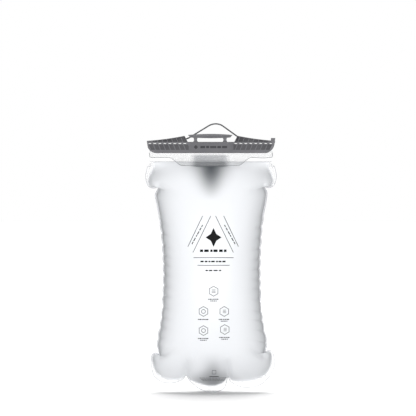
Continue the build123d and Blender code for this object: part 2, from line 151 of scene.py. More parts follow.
@dataclass
class NodeGroups:
    """Builds each shared shader node group once and hands it out."""

    grain_detail: float = 3.0
    tone_scale: float = 60.0
    tone_detail: float = 2.0
    edge_start: float = 0.52
    edge_full: float = 0.62
    wear_scale: float = 160.0
    recess_middle: float = -0.0007
    recess_depth: float = 0.00575
    recess_inner: float = 0.031
    facing_limit: float = 0.5
    cloud_detail: float = 4.0
    cloud_low: float = 0.3
    cloud_high: float = 0.7
    _built: dict[Effect, bpy.types.NodeTree] = field(default_factory=dict)

    def get(self, effect: Effect) -> bpy.types.NodeTree:
        """Gives the node group of an effect.

        Args:
            effect: The effect wanted.

        Returns:
            The shared node tree.
        """
        if effect not in self._built:
            makers: dict[Effect, Callable[[], bpy.types.NodeTree]] = {
                Effect.GRAIN: self._grain, Effect.WEAR: self._wear, Effect.DUST: self._dust,
                Effect.POCKET_SHADE: self._pocket_shade}
            self._built[effect] = makers[effect]()
        return self._built[effect]

    @staticmethod
    def _tree(
            effect: Effect, inputs: Sequence[tuple[str, str, float]], outputs: Sequence[tuple[str, str]],
    ) -> tuple[bpy.types.NodeTree, bpy.types.Node, bpy.types.Node]:
        """Makes an empty group with its sockets.

        Args:
            effect: The effect it is for.
            inputs: Name, socket type and default of each input.
            outputs: Name and socket type of each output.

        Returns:
            The tree, its input node and its output node.
        """
        tree = bpy.data.node_groups.new(effect.value, "ShaderNodeTree")
        for name, kind, default in inputs:
            socket = tree.interface.new_socket(name, in_out="INPUT", socket_type=kind)
            if kind == "NodeSocketFloat":
                socket.default_value = default
        for name, kind in outputs:
            tree.interface.new_socket(name, in_out="OUTPUT", socket_type=kind)
        return tree, tree.nodes.new("NodeGroupInput"), tree.nodes.new("NodeGroupOutput")

    def _grain(self) -> bpy.types.NodeTree:
        """Fine spark-eroded texture of a moulding: a height and a slight tone change.

        Returns:
            The group.
        """
        tree, enter, leave = self._tree(
            Effect.GRAIN,
            [("Vector", "NodeSocketVector", 0.0), ("Scale", "NodeSocketFloat", 900.0)],
            [("Height", "NodeSocketFloat"), ("Tone", "NodeSocketFloat")])
        fine = tree.nodes.new("ShaderNodeTexNoise")
        fine.inputs["Detail"].default_value = self.grain_detail
        broad = tree.nodes.new("ShaderNodeTexNoise")
        broad.inputs["Scale"].default_value = self.tone_scale
        broad.inputs["Detail"].default_value = self.tone_detail
        tree.links.new(enter.outputs["Vector"], fine.inputs["Vector"])
        tree.links.new(enter.outputs["Vector"], broad.inputs["Vector"])
        tree.links.new(enter.outputs["Scale"], fine.inputs["Scale"])
        tree.links.new(fine.outputs["Fac"], leave.inputs["Height"])
        tree.links.new(broad.outputs["Fac"], leave.inputs["Tone"])
        return tree

    def _wear(self) -> bpy.types.NodeTree:
        """Mask of rubbed outer edges, from the surface's pointiness broken up by noise.

        Returns:
            The group.
        """
        tree, enter, leave = self._tree(
            Effect.WEAR,
            [("Vector", "NodeSocketVector", 0.0), ("Amount", "NodeSocketFloat", 0.5)],
            [("Mask", "NodeSocketFloat")])
        geometry = tree.nodes.new("ShaderNodeNewGeometry")
        ramp = tree.nodes.new("ShaderNodeMapRange")
        ramp.inputs["From Min"].default_value = self.edge_start
        ramp.inputs["From Max"].default_value = self.edge_full
        broken = tree.nodes.new("ShaderNodeTexNoise")
        broken.inputs["Scale"].default_value = self.wear_scale
        mix = tree.nodes.new("ShaderNodeMath")
        mix.operation = "MULTIPLY"
        scaled = tree.nodes.new("ShaderNodeMath")
        scaled.operation = "MULTIPLY"
        scaled.use_clamp = True
        tree.links.new(geometry.outputs["Pointiness"], ramp.inputs["Value"])
        tree.links.new(enter.outputs["Vector"], broken.inputs["Vector"])
        tree.links.new(ramp.outputs["Result"], mix.inputs[0])
        tree.links.new(broken.outputs["Fac"], mix.inputs[1])
        tree.links.new(mix.outputs[0], scaled.inputs[0])
        tree.links.new(enter.outputs["Amount"], scaled.inputs[1])
        tree.links.new(scaled.outputs[0], leave.inputs["Mask"])
        return tree

    def _pocket_shade(self) -> bpy.types.NodeTree:
        """Mask for painted shade in the closure's sunken faces: front or back facing, out from the handle,
        below its skin.

        Returns:
            The group.
        """
        tree, enter, leave = self._tree(
            Effect.POCKET_SHADE,
            [("Vector", "NodeSocketVector", 0.0), ("Normal", "NodeSocketVector", 0.0),
             ("Middle", "NodeSocketFloat", self.recess_middle),
             ("Depth", "NodeSocketFloat", self.recess_depth),
             ("Inner", "NodeSocketFloat", self.recess_inner)],
            [("Mask", "NodeSocketFloat")])
        place, facing = tree.nodes.new("ShaderNodeSeparateXYZ"), tree.nodes.new("ShaderNodeSeparateXYZ")
        tree.links.new(enter.outputs["Vector"], place.inputs[0])
        tree.links.new(enter.outputs["Normal"], facing.inputs[0])
        offset = self._math(tree, "SUBTRACT", place.outputs["Y"], enter.outputs["Middle"])
        deep = self._math(tree, "LESS_THAN", self._math(tree, "ABSOLUTE", offset), enter.outputs["Depth"])
        outer = self._math(tree, "GREATER_THAN", self._math(tree, "ABSOLUTE", place.outputs["X"]),
                           enter.outputs["Inner"])
        square = self._math(tree, "GREATER_THAN", self._math(tree, "ABSOLUTE", facing.outputs["Y"]),
                            self.facing_limit)
        both = self._math(tree, "MULTIPLY", deep, outer)
        tree.links.new(self._math(tree, "MULTIPLY", both, square), leave.inputs["Mask"])
        return tree

    @staticmethod
    def _math(tree: bpy.types.NodeTree, operation: str, first: bpy.types.NodeSocket,
              second: bpy.types.NodeSocket | float | None = None) -> bpy.types.NodeSocket:
        """Adds one sum to a group.

        Args:
            tree: The group.
            operation: Blender's name of the sum.
            first: Its first term.
            second: Its second term, if it has one.

        Returns:
            The result's socket.
        """
        node = tree.nodes.new("ShaderNodeMath")
        node.operation = operation
        tree.links.new(first, node.inputs[0])
        if isinstance(second, float):
            node.inputs[1].default_value = second
        elif second is not None:
            tree.links.new(second, node.inputs[1])
        return node.outputs[0]

    def _dust(self) -> bpy.types.NodeTree:
        """Soft uneven mask of handling marks, for roughness.

        Returns:
            The group.
        """
        tree, enter, leave = self._tree(
            Effect.DUST,
            [("Vector", "NodeSocketVector", 0.0), ("Scale", "NodeSocketFloat", 40.0),
             ("Low", "NodeSocketFloat", 0.3), ("High", "NodeSocketFloat", 0.5)],
            [("Roughness", "NodeSocketFloat")])
        cloud = tree.nodes.new("ShaderNodeTexNoise")
        cloud.inputs["Detail"].default_value = self.cloud_detail
        spread = tree.nodes.new("ShaderNodeMapRange")
        spread.inputs["From Min"].default_value = self.cloud_low
        spread.inputs["From Max"].default_value = self.cloud_high
        tree.links.new(enter.outputs["Vector"], cloud.inputs["Vector"])
        tree.links.new(enter.outputs["Scale"], cloud.inputs["Scale"])
        tree.links.new(cloud.outputs["Fac"], spread.inputs["Value"])
        tree.links.new(enter.outputs["Low"], spread.inputs["To Min"])
        tree.links.new(enter.outputs["High"], spread.inputs["To Max"])
        tree.links.new(spread.outputs["Result"], leave.inputs["Roughness"])
        return tree


GROUPS = NodeGroups()


@dataclass(frozen=True)
class MouldedFinish:
    """Moulded plastic with a fine grain, slightly rubbed edges and uneven gloss, and painted shade in its
    sunken faces where a pocket shade colour is given.
    """

    name: str
    colour: Colour
    worn_colour: Colour
    low_roughness: float = 0.38
    high_roughness: float = 0.55
    grain_scale: float = 1400.0
    grain_depth: float = 0.00003
    wear: float = 0.6
    # colour of the painted shade in the sunken faces, if any
    pocket_shade_colour: Colour | None = None
    subsurface: float = 0.0
    alpha: float = 1.0
    metallic: float = 0.0
    specular: float = 0.3
    tone_lift: float = 1.16

    def build(self) -> bpy.types.Material:
        """Builds the material.

        Returns:
            The new material.
        """
        material, nodes, links, shader = start_material(self.name)
        place = nodes.new("ShaderNodeTexCoord")
        grain, wear, dust = (self._group(nodes, e) for e in (Effect.GRAIN, Effect.WEAR, Effect.DUST))
        for node in (grain, wear, dust):
            links.new(place.outputs["Object"], node.inputs["Vector"])
        grain.inputs["Scale"].default_value = self.grain_scale
        wear.inputs["Amount"].default_value = self.wear
        dust.inputs["Low"].default_value = self.low_roughness
        dust.inputs["High"].default_value = self.high_roughness
        tone = colour_mix(nodes, self.colour, brighter(self.colour, self.tone_lift))
        rubbed = colour_mix(nodes, None, self.worn_colour)
        bump = nodes.new("ShaderNodeBump")
        bump.inputs["Distance"].default_value = self.grain_depth
        links.new(grain.outputs["Tone"], tone.inputs["Factor"])
        links.new(tone.outputs["Result"], rubbed.inputs["A"])
        links.new(wear.outputs["Mask"], rubbed.inputs["Factor"])
        # painted shade: the sunken faces are darkened to the pocket shade colour
        if self.pocket_shade_colour:
            recess, sunk = self._group(nodes, Effect.POCKET_SHADE), colour_mix(nodes, None, self.pocket_shade_colour)
            links.new(place.outputs["Object"], recess.inputs["Vector"])
            links.new(place.outputs["Normal"], recess.inputs["Normal"])
            links.new(recess.outputs["Mask"], sunk.inputs["Factor"])
            links.new(rubbed.outputs["Result"], sunk.inputs["A"])
            links.new(sunk.outputs["Result"], shader.inputs["Base Color"])
        else:
            links.new(rubbed.outputs["Result"], shader.inputs["Base Color"])
        links.new(dust.outputs["Roughness"], shader.inputs["Roughness"])
        links.new(grain.outputs["Height"], bump.inputs["Height"])
        links.new(bump.outputs["Normal"], shader.inputs["Normal"])
        shader.inputs["Subsurface Weight"].default_value = self.subsurface
        shader.inputs["Alpha"].default_value = self.alpha
        shader.inputs["Metallic"].default_value = self.metallic
        shader.inputs["Specular IOR Level"].default_value = self.specular
        return material

    @staticmethod
    def _group(nodes: bpy.types.Nodes, effect: Effect) -> bpy.types.Node:
        """Places a shared group among a material's nodes.

        Args:
            nodes: The material's nodes.
            effect: The group's effect.

        Returns:
            The group's node.
        """
        node = nodes.new("ShaderNodeGroup")
        node.node_tree = GROUPS.get(effect)
        return node


# ------------------------------------------------------------------ the studio
@dataclass
class Studio:
    """Pale floor and backdrop, soft light from the front, and the camera."""

    floor_z: float
    middle: Vector = field(default_factory=lambda: Vector((-0.0042, 0.0, -0.097)))
    frame_width: float = 0.578
    camera_distance: float = 2.6
    sensor_width: float = 36.0
    ambient: float = 0.16
    floor_tone: float = 0.9
    floor_bounce: float = 0.5
    key_power: float = 74.0
    back_power: float = 20.0
    overhead_power: float = 3.5
    overhead_spread: float = 45.0
    overhead_tilt: float = -16.0
    aim: tuple[float, float, float] = (0.0, 0.0, -0.16)
    key_place: tuple[float, float, float] = (0.0, -2.4, -0.22)
    key_size: float = 0.9
    back_place: tuple[float, float, float] = (0.5, 2.4, 0.2)
    back_size: float = 1.2
    floor_reach: float = 30.0
    floor_roughness: float = 0.8
    far_clip: float = 100.0

    def build(self) -> None:
        """Builds the floor, the lights, the world and the camera."""
        self._floor()
        self._lights()
        self._camera()
        log.info("studio: floor at %.1f mm", self.floor_z / MM)

    def _floor(self) -> None:
        """Lays the floor and marks it as stage."""
        mesh = bpy.data.meshes.new("studio_floor")
        bm = bmesh.new()
        bmesh.ops.create_grid(bm, x_segments=1, y_segments=1, size=self.floor_reach)
        bmesh.ops.translate(bm, verts=bm.verts, vec=(0, 0, self.floor_z))
        bm.to_mesh(mesh)
        bm.free()
        floor = link_object("studio_floor", mesh)
        material, nodes, links, shader = start_material("floor_paint")
        shader.inputs["Roughness"].default_value = self.floor_roughness
        shader.inputs["Specular IOR Level"].default_value = 0.0
        path = nodes.new("ShaderNodeLightPath")
        paint = colour_mix(nodes, (*(self.floor_bounce,) * 3, 1), (*(self.floor_tone,) * 3, 1))
        links.new(path.outputs["Is Camera Ray"], paint.inputs["Factor"])
        links.new(paint.outputs["Result"], shader.inputs["Base Color"])
        mesh.materials.append(material)

    def _area(self, name: str, place: Vector, size: float, power: float) -> None:
        """Hangs one square soft box that faces the bladder.

        Args:
            name: The lamp's name.
            place: Where it stands.
            size: Its side.
            power: Watts.
        """
        lamp = bpy.data.lights.new(name, "AREA")
        lamp.shape = "RECTANGLE"
        lamp.size = lamp.size_y = size
        lamp.energy = power
        holder = link_object(name, lamp)
        holder.location = place
        holder.rotation_euler = (Vector(self.aim) - place).to_track_quat("-Z", "Y").to_euler()

    def _lights(self) -> None:
        """Lights the front and, more softly, the back with soft boxes, and the floor from overhead."""
        self._area("front_box", Vector(self.key_place), self.key_size, self.key_power)
        self._area("back_box", Vector(self.back_place), self.back_size, self.back_power)
        sun = bpy.data.lights.new("overhead", "SUN")
        sun.angle = math.radians(self.overhead_spread)
        sun.energy = self.overhead_power
        link_object("overhead", sun).rotation_euler = (math.radians(self.overhead_tilt), 0, 0)
        world = bpy.data.worlds.new("white_surround")
        world.use_nodes = True
        nodes, links = world.node_tree.nodes, world.node_tree.links
        ambient = nodes["Background"]
        ambient.inputs["Strength"].default_value = self.ambient
        seen = nodes.new("ShaderNodeBackground")
        for shade in (ambient, seen):
            shade.inputs["Color"].default_value = (1, 1, 1, 1)
        path, mix = nodes.new("ShaderNodeLightPath"), nodes.new("ShaderNodeMixShader")
        links.new(path.outputs["Is Camera Ray"], mix.inputs["Fac"])
        links.new(ambient.outputs["Background"], mix.inputs[1])
        links.new(seen.outputs["Background"], mix.inputs[2])
        links.new(mix.outputs["Shader"], nodes["World Output"].inputs["Surface"])
        bpy.context.scene.world = world

    def _camera(self) -> None:
        """Stands the camera straight in front, with a long lens."""
        lens = bpy.data.cameras.new("camera")
        lens.sensor_width = self.sensor_width
        lens.lens = self.sensor_width * self.camera_distance / self.frame_width
        lens.clip_end = self.far_clip
        camera = link_object("camera", lens)
        camera.location = self.middle + Vector((0, -self.camera_distance, 0))
        camera.rotation_euler = (math.pi / 2, 0, 0)
        bpy.context.scene.camera = camera
        bpy.context.scene.view_settings.view_transform = "Standard"


# ------------------------------------------------------------------ shared mesh helpers
def dress(obj: bpy.types.Object, material: bpy.types.Material) -> None:
    """Gives every material slot of an object one finish.

    Args:
        obj: The piece.
        material: Its finish.
    """
    if not obj.material_slots:
        obj.data.materials.append(material)
    for slot in obj.material_slots:
        slot.material = material


def make_object(name: str, bm: bmesh.types.BMesh, material: bpy.types.Material,
                smooth: bool = True) -> bpy.types.Object:
    """Turns a bmesh into an object at the origin and frees it.

    Args:
        name: The piece's name.
        bm: The finished mesh.
        material: Its finish.
        smooth: Whether faces are shaded smooth.

    Returns:
        The new object.
    """
    mesh = bpy.data.meshes.new(name)
    for face in bm.faces:
        face.smooth = smooth
    bm.to_mesh(mesh)
    bm.free()
    mesh.materials.append(material)
    return link_object(name, mesh)


def add_modifier(obj: bpy.types.Object, kind: str, **settings: object) -> bpy.types.Modifier:
    """Adds a modifier with its settings.

    Args:
        obj: The piece.
        kind: Blender's modifier type.
        settings: Attribute values.

    Returns:
        The modifier.
    """
    modifier = obj.modifiers.new(kind.lower(), kind)
    for key, value in settings.items():
        setattr(modifier, key, value)
    return modifier


def bead(name: str, path: Sequence[Vector], radius: float, material: bpy.types.Material) -> bpy.types.Object:
    """Makes a thin round bead along a path.

    Args:
        name: The piece's name.
        path: Points in millimetres.
        radius: Half the bead's thickness, in millimetres.
        material: Its finish.

    Returns:
        The bead, as a mesh.
    """
    curve = bpy.data.curves.new(name, "CURVE")
    curve.dimensions = "3D"
    curve.bevel_depth = radius * MM
    curve.bevel_resolution = 1
    curve.use_fill_caps = True
    spline = curve.splines.new("POLY")
    spline.points.add(len(path) - 1)
    for point, spot in zip(spline.points, path):
        point.co = (*(spot * MM), 1.0)
    holder = link_object(name, curve)
    bpy.context.view_layer.update()
    mesh = bpy.data.meshes.new_from_object(holder)
    bpy.data.objects.remove(holder)
    mesh.materials.clear()
    mesh.materials.append(material)
    mesh.shade_smooth()
    return link_object(name, mesh)


def smoothstep(low: float, high: float, value: float) -> float:
    """Smooth rise from 0 at low to 1 at high."""
    t = min(max((value - low) / (high - low), 0.0), 1.0)
    return t * t * (3 - 2 * t)


class SmoothLine:
    """Smooth open curve through given points in (x, z) and a weld width, in millimetres."""

    STEP: float = 0.004

    def __init__(self, points: Sequence[tuple[float, float, float]]) -> None:
        """Stores the points and their running length.

        Args:
            points: The points, in order.
        """
        self.points = [Vector(p) for p in points]
        self.spots = [0.0]
        for a, b in zip(self.points, self.points[1:]):
            self.spots.append(self.spots[-1] + (b - a).xy.length)

    def at(self, share: float) -> Vector:
        """Gives the point at a share of the length.

        Args:
            share: From 0, the first point, to 1, the last.

        Returns:
            The point, in millimetres.
        """
        spot = min(max(share, 0.0), 1.0) * self.spots[-1]
        index = max(i for i in range(len(self.points) - 1) if self.spots[i] <= spot or i == 0)
        span = self.spots[index + 1] - self.spots[index]
        t = (spot - self.spots[index]) / span
        start, end = self._slope(index) * span, self._slope(index + 1) * span
        return ((2 * t ** 3 - 3 * t ** 2 + 1) * self.points[index] + (t ** 3 - 2 * t ** 2 + t) * start
                + (3 * t ** 2 - 2 * t ** 3) * self.points[index + 1] + (t ** 3 - t ** 2) * end)

    def _slope(self, index: int) -> Vector:
        """Slope at one of the points, per millimetre."""
        before, after = max(index - 1, 0), min(index + 1, len(self.points) - 1)
        return (self.points[after] - self.points[before]) / (self.spots[after] - self.spots[before])

    def outward(self, share: float, hand: int) -> Vector:
        """Gives the direction square to the line.

        Args:
            share: Where along the line.
            hand: 1 for the right of the way of travel, -1 for the left.

        Returns:
            A unit vector in (x, z).
        """
        after, before = self.at(min(share + self.STEP, 1.0)), self.at(max(share - self.STEP, 0.0))
        way = (after - before).xy.normalized()
        return Vector((way.y, -way.x)) * hand


# ------------------------------------------------------------------ the film
class Film(Enum):
    """The two films of the bag, by the side that each one is on."""

    FRONT = -1
    BACK = 1


@dataclass(frozen=True)
class FilmFinish:
    """Frosted, translucent film: milky, softly glossy, clearer where it is welded flat, and darkened with
    painted shade where its shaded attribute is set.
    """

    name: str
    colour: Colour = (0.91, 0.925, 0.95, 1)
    # colour of the painted shade
    shade: Colour = (0.072, 0.082, 0.092, 1)
    opacity: float = 0.78
    weld_opacity: float = 0.05
    roughness: float = 0.36
    roughness_below: float = 0.07
    roughness_above: float = 0.08
    grain_scale: float = 700.0
    grain_depth: float = 0.00001
    smudge_scale: float = 26.0
    ior: float = 1.45
    specular: float = 0.3

    def build(self) -> bpy.types.Material:
        """Builds the material, which reads the film's two vertex attributes: welded, and shaded, the painted
        shade.

        Returns:
            The new material.
        """
        material, nodes, links, shader = start_material(self.name)
        place = nodes.new("ShaderNodeTexCoord")
        grain, dust = nodes.new("ShaderNodeGroup"), nodes.new("ShaderNodeGroup")
        grain.node_tree, dust.node_tree = GROUPS.get(Effect.GRAIN), GROUPS.get(Effect.DUST)
        for group in (grain, dust):
            links.new(place.outputs["Object"], group.inputs["Vector"])
        grain.inputs["Scale"].default_value = self.grain_scale
        dust.inputs["Scale"].default_value = self.smudge_scale
        dust.inputs["Low"].default_value = self.roughness - self.roughness_below
        dust.inputs["High"].default_value = self.roughness + self.roughness_above
        links.new(dust.outputs["Roughness"], shader.inputs["Roughness"])
        bump = nodes.new("ShaderNodeBump")
        bump.inputs["Distance"].default_value = self.grain_depth
        links.new(grain.outputs["Height"], bump.inputs["Height"])
        links.new(bump.outputs["Normal"], shader.inputs["Normal"])
        weld, shade = nodes.new("ShaderNodeAttribute"), nodes.new("ShaderNodeAttribute")
        weld.attribute_name, shade.attribute_name = "welded", "shaded"
        clear = nodes.new("ShaderNodeMapRange")
        clear.inputs["To Min"].default_value = self.opacity
        clear.inputs["To Max"].default_value = self.weld_opacity
        solid = nodes.new("ShaderNodeMath")
        solid.operation = "MAXIMUM"
        # painted shade: the shaded attribute darkens the film towards the shade colour and makes it opaque
        # there
        tint = colour_mix(nodes, self.colour, self.shade)
        links.new(weld.outputs["Fac"], clear.inputs["Value"])
        links.new(clear.outputs["Result"], solid.inputs[0])
        links.new(shade.outputs["Fac"], solid.inputs[1])
        links.new(solid.outputs[0], shader.inputs["Alpha"])
        links.new(shade.outputs["Fac"], tint.inputs["Factor"])
        links.new(tint.outputs["Result"], shader.inputs["Base Color"])
        shader.inputs["IOR"].default_value = self.ior
        shader.inputs["Specular IOR Level"].default_value = self.specular
        return material


@dataclass(frozen=True)
class FilmRelax:
    """Short cloth simulation that lets the water push one film out between its welds."""

    frames: int = 20
    quality: int = 7
    pressure: float = 6.0
    mass: float = 0.002
    stretch: float = 15.0
    bend: float = 0.01
    cap: float = 3.0

    def run(self, panel: bpy.types.Object, held: Sequence[int], cut: Sequence[Vector]) -> None:
        """Runs the simulation and keeps its result in the mesh.

        Args:
            panel: The film, its faces outward.
            held: Indices of the points on the welds, which stay where they are.
            cut: The film's unstretched shape, in metres.
        """
        mesh, scene = panel.data, bpy.context.scene
        before = [vert.co.copy() for vert in mesh.vertices]
        panel.vertex_groups.new(name="held").add(list(held), 1.0, "REPLACE")
        panel.shape_key_add(name="shaped")
        rest = panel.shape_key_add(name="cut")
        for key, spot in zip(rest.data, cut):
            key.co = spot
        modifier = add_modifier(panel, "CLOTH")
        cloth = modifier.settings
        cloth.rest_shape_key, cloth.vertex_group_mass = rest, "held"
        cloth.quality, cloth.mass = self.quality, self.mass
        cloth.tension_stiffness = cloth.compression_stiffness = self.stretch
        cloth.shear_stiffness, cloth.bending_stiffness = self.stretch / 4, self.bend
        cloth.use_pressure, cloth.uniform_pressure_force = True, self.pressure
        cloth.effector_weights.gravity = 0.0
        modifier.collision_settings.use_collision = False
        modifier.point_cache.frame_start, modifier.point_cache.frame_end = 1, self.frames
        for frame in range(1, self.frames + 1):
            scene.frame_set(frame)
        graph = bpy.context.evaluated_depsgraph_get()
        result = panel.evaluated_get(graph).to_mesh()
        steps = [new.co - old for new, old in zip(result.vertices, before)]
        panel.evaluated_get(graph).to_mesh_clear()
        panel.modifiers.remove(modifier)
        panel.shape_key_clear()
        panel.vertex_groups.clear()
        scene.frame_set(1)
        limit = self.cap * MM
        for vert, old, step in zip(mesh.vertices, before, steps):
            vert.co = old + step * min(1.0, limit / max(step.length, 1e-9))
        log.info("%s relaxed, furthest %.2f mm", panel.name, max(step.length for step in steps) / MM)


@dataclass(frozen=True)
class PaintedShade:
    """Painted shade on the film where its steep curves look dark: in a V under the flap, in the slot above it
    and above the bottom weld.
    """

    v_top: float = -41.0
    v_drop: float = 46.0
    v_start: float = -0.1
    v_tone: float = 0.98
    v_fade: float = -0.02
    v_power: float = 0.68
    v_half: float = 21.0
    v_narrowing: float = 11.5
    slot_foot: float = -39.5
    slot_tone: float = 0.93
    slot_x: float = -1.4
    slot_half: tuple[float, float] = (17.0, 30.0)
    slot_top: tuple[float, float] = (-24.5, -21.5)
    foot_z: float = -344.0
    foot_rise: float = 52.0
    foot_tone: float = 0.64
    foot_fade: float = 0.1
    foot_x: float = 3.0
    foot_half: float = 27.0
    foot_narrowing: float = 15.0
    foot_pinch: tuple[float, float] = (0.08, 0.55)

    def at(self, x: float, z: float) -> float:
        """Gives the painted shade at a place, in millimetres: from 0, clear, to 1."""
        return max(self._upper(x, z), self._lower(x, z))

    def _upper(self, x: float, z: float) -> float:
        """Painted shade of the V and of the slot above it, which the flap covers.

        Args:
            x: Across, in millimetres.
            z: Up.

        Returns:
            From 0, clear, to 1.
        """
        fall = (self.v_top - z) / self.v_drop
        tone = 0.0
        if self.v_start < fall < 1:
            half = self.v_half - self.v_narrowing * fall
            deep = (1 - smoothstep(self.v_fade, 1.0, fall)) ** self.v_power
            tone = self.v_tone * deep * math.exp(-(x / half) ** 2)
        if z > self.slot_foot:
            across = 1 - smoothstep(*self.slot_half, abs(x - self.slot_x))
            tone = self.slot_tone * across * (1 - smoothstep(*self.slot_top, z))
        return tone

    def _lower(self, x: float, z: float) -> float:
        """Painted shade above the bottom weld.

        Args:
            x: Across, in millimetres.
            z: Up.

        Returns:
            From 0, clear, to 1.
        """
        rise = (z - self.foot_z) / self.foot_rise
        if not 0 <= rise < 1:
            return 0.0
        half = self.foot_half - self.foot_narrowing * smoothstep(*self.foot_pinch, rise)
        fade = 1 - smoothstep(self.foot_fade, 1.0, rise)
        return self.foot_tone * fade * math.exp(-((x - self.foot_x) / half) ** 2)


@dataclass
class FilmBag:
    """The inflated part of the two films with the flat welded margin round it."""

    # the weld's inner edge with the margin's width, at listed points: x, z, width
    left: tuple[tuple[float, float, float], ...] = (
        (-81.5, -33.0, 4.0), (-78.4, -38.0, 8.0), (-80.4, -46.0, 9.4), (-84.6, -53.5, 6.6),
        (-86.4, -60.5, 3.4), (-84.6, -66.3, 2.0), (-78.6, -67.9, 1.6), (-71.6, -66.0, 1.2),
        (-72.6, -71.0, 1.3), (-75.8, -78.0, 1.6), (-73.6, -91.0, 1.7), (-69.4, -114.0, 1.8),
        (-65.8, -145.0, 1.6), (-64.2, -185.0, 1.6), (-64.8, -220.0, 1.6), (-68.4, -256.0, 1.6),
        (-72.9, -286.0, 1.6), (-71.4, -297.0, 1.3), (-71.6, -302.4, 1.2), (-76.8, -299.6, 1.6),
        (-80.8, -302.6, 1.8), (-80.4, -311.0, 2.2), (-78.0, -319.5, 4.6), (-73.6, -325.6, 7.4))
    right: tuple[tuple[float, float, float], ...] = (
        (81.5, -33.0, 4.0), (78.0, -38.0, 8.6), (80.2, -46.0, 9.4), (83.6, -53.5, 7.6),
        (85.2, -60.5, 4.4), (83.4, -66.0, 2.2), (78.0, -67.0, 1.6), (72.2, -64.2, 1.2),
        (73.8, -69.4, 1.3), (76.4, -76.0, 1.6), (74.6, -90.0, 1.7), (70.4, -112.0, 1.8),
        (67.6, -143.0, 1.6), (66.2, -185.0, 1.6), (67.2, -222.0, 1.6), (71.0, -258.0, 1.6),
        (75.8, -285.0, 1.6), (74.0, -296.0, 1.3), (72.8, -301.8, 1.2), (77.2, -297.4, 1.8),
        (82.6, -297.6, 2.6), (83.4, -306.0, 4.4), (81.2, -317.0, 6.6), (74.6, -327.0, 7.8))
    bottom: tuple[tuple[float, float, float], ...] = (
        (-73.6, -325.6, 7.4), (-66.0, -331.6, 7.2), (-54.0, -334.2, 5.8), (-42.0, -333.6, 2.8),
        (-34.6, -328.4, 1.2), (-29.0, -334.8, 2.0), (-15.0, -339.4, 8.4), (1.0, -341.8, 11.0),
        (13.0, -339.6, 9.6), (19.4, -335.2, 3.6), (23.6, -330.0, 1.3), (29.0, -335.2, 3.6),
        (41.0, -335.8, 9.6), (55.0, -334.0, 12.0), (66.6, -331.2, 11.0), (74.6, -327.0, 7.8))
    # half-depth on the middle line, by height
    depths: tuple[tuple[float, float], ...] = (
        (-33.0, 0.0), (-41.0, 5.0), (-52.0, 12.0), (-64.0, 17.5), (-78.0, 22.5), (-100.0, 28.5),
        (-135.0, 33.5), (-175.0, 36.0), (-215.0, 36.0), (-250.0, 34.0), (-284.0, 28.5),
        (-303.0, 23.8), (-318.0, 14.8), (-328.0, 6.5), (-334.5, 0.0))
    # where the film folds in from a notch of the weld: from x, z to x, z, then width and depth
    creases: tuple[tuple[float, float, float, float, float, float], ...] = (
        (-72.0, -66.0, -44.0, -78.0, 5.0, 0.42), (72.5, -64.5, 46.0, -76.0, 5.0, 0.42),
        (-71.5, -302.0, -46.0, -290.0, 5.0, 0.40), (73.0, -301.5, 48.0, -289.0, 5.0, 0.40),
        (-34.6, -330.0, -30.0, -300.0, 5.5, 0.45), (23.6, -331.0, 20.0, -300.0, 5.5, 0.45),
        (-80.0, -36.0, -52.0, -47.0, 6.0, 0.25), (80.0, -36.0, 52.0, -47.0, 6.0, 0.25))
    throat_z: float = -33.0
    foot_z: float = -333.0
    chest_half: float = 76.0
    waist_draw: float = 9.0
    waist_start: float = 0.04
    waist_run: float = 0.9
    waist_power: float = 1.3
    middle_z: float = -190.0
    columns: int = 64
    rows: int = 150
    bunching: float = 0.38
    margin_rows: int = 3
    edge_power: float = 6.0
    foot_power: int = 10
    round_power: float = 2.15
    round_root: float = 0.49
    gather_pitch: float = 14.6
    gather_top: float = -98.0
    gather_foot: float = -296.0
    gather_fades: tuple[float, float] = (26.0, 14.0)
    gather_offset: float = 0.37
    gather_uneven: float = 0.28
    gather_roam: float = 0.03
    gather_noise: tuple[float, float] = (5.0, 2.0)
    gather_sharpness: float = 0.75
    gather_reach: float = 6.5
    gather_dent: float = 0.15
    dent_power: float = 1.4
    crease_power: float = 1.5
    # painted shade towards the side welds: its strength, its reach on the left and right, its power and its
    # fade-in below the throat
    painted_edge_shade: float = 0.31
    painted_edge_shade_reach: tuple[float, float] = (11.5, 16.0)
    painted_edge_shade_power: float = 1.3
    painted_edge_shade_start: float = 0.06
    scallop: float = 1.7
    wall: float = 0.5
    slack: float = 2.2
    slack_reach: float = 26.0
    slack_start: float = 2.0
    side_steps: int = 220
    foot_steps: int = 160
    rim_lift: float = 0.02
    shade: PaintedShade = PaintedShade()
    relax: FilmRelax = FilmRelax()
    finish: FilmFinish = field(default_factory=lambda: FilmFinish("frosted_film"))

    def __post_init__(self) -> None:
        """Draws the outline curves."""
        self._lines = {"left": SmoothLine(self.left), "right": SmoothLine(self.right),
                       "bottom": SmoothLine(self.bottom)}

    def edge(self, side: str, share: float, out: float) -> Vector:
        """Gives a point of the welded margin.

        Args:
            side: left, right or bottom.
            share: How far along the weld, from 0 to 1.
            out: 0 on the weld, 1 on the margin's outer edge.

        Returns:
            The point in (x, z), in millimetres.
        """
        line = self._lines[side]
        spot = line.at(share)
        way = line.outward(share, -1 if side == "right" else 1)
        bulge = 0.0 if side == "bottom" else self.scallop * (self._gather(spot.y, side) - 0.5)
        return spot.xy + way * (bulge * self._gather_zone(spot.y) + out * spot.z)

    def _gather_zone(self, z: float) -> float:
        """How strongly the weld gathers at a height.

        Args:
            z: The height, in millimetres.

        Returns:
            From 0 to 1.
        """
        upper, lower = self.gather_fades
        return (1 - smoothstep(self.gather_top - upper, self.gather_top, z)) * smoothstep(
            self.gather_foot, self.gather_foot + lower, z)

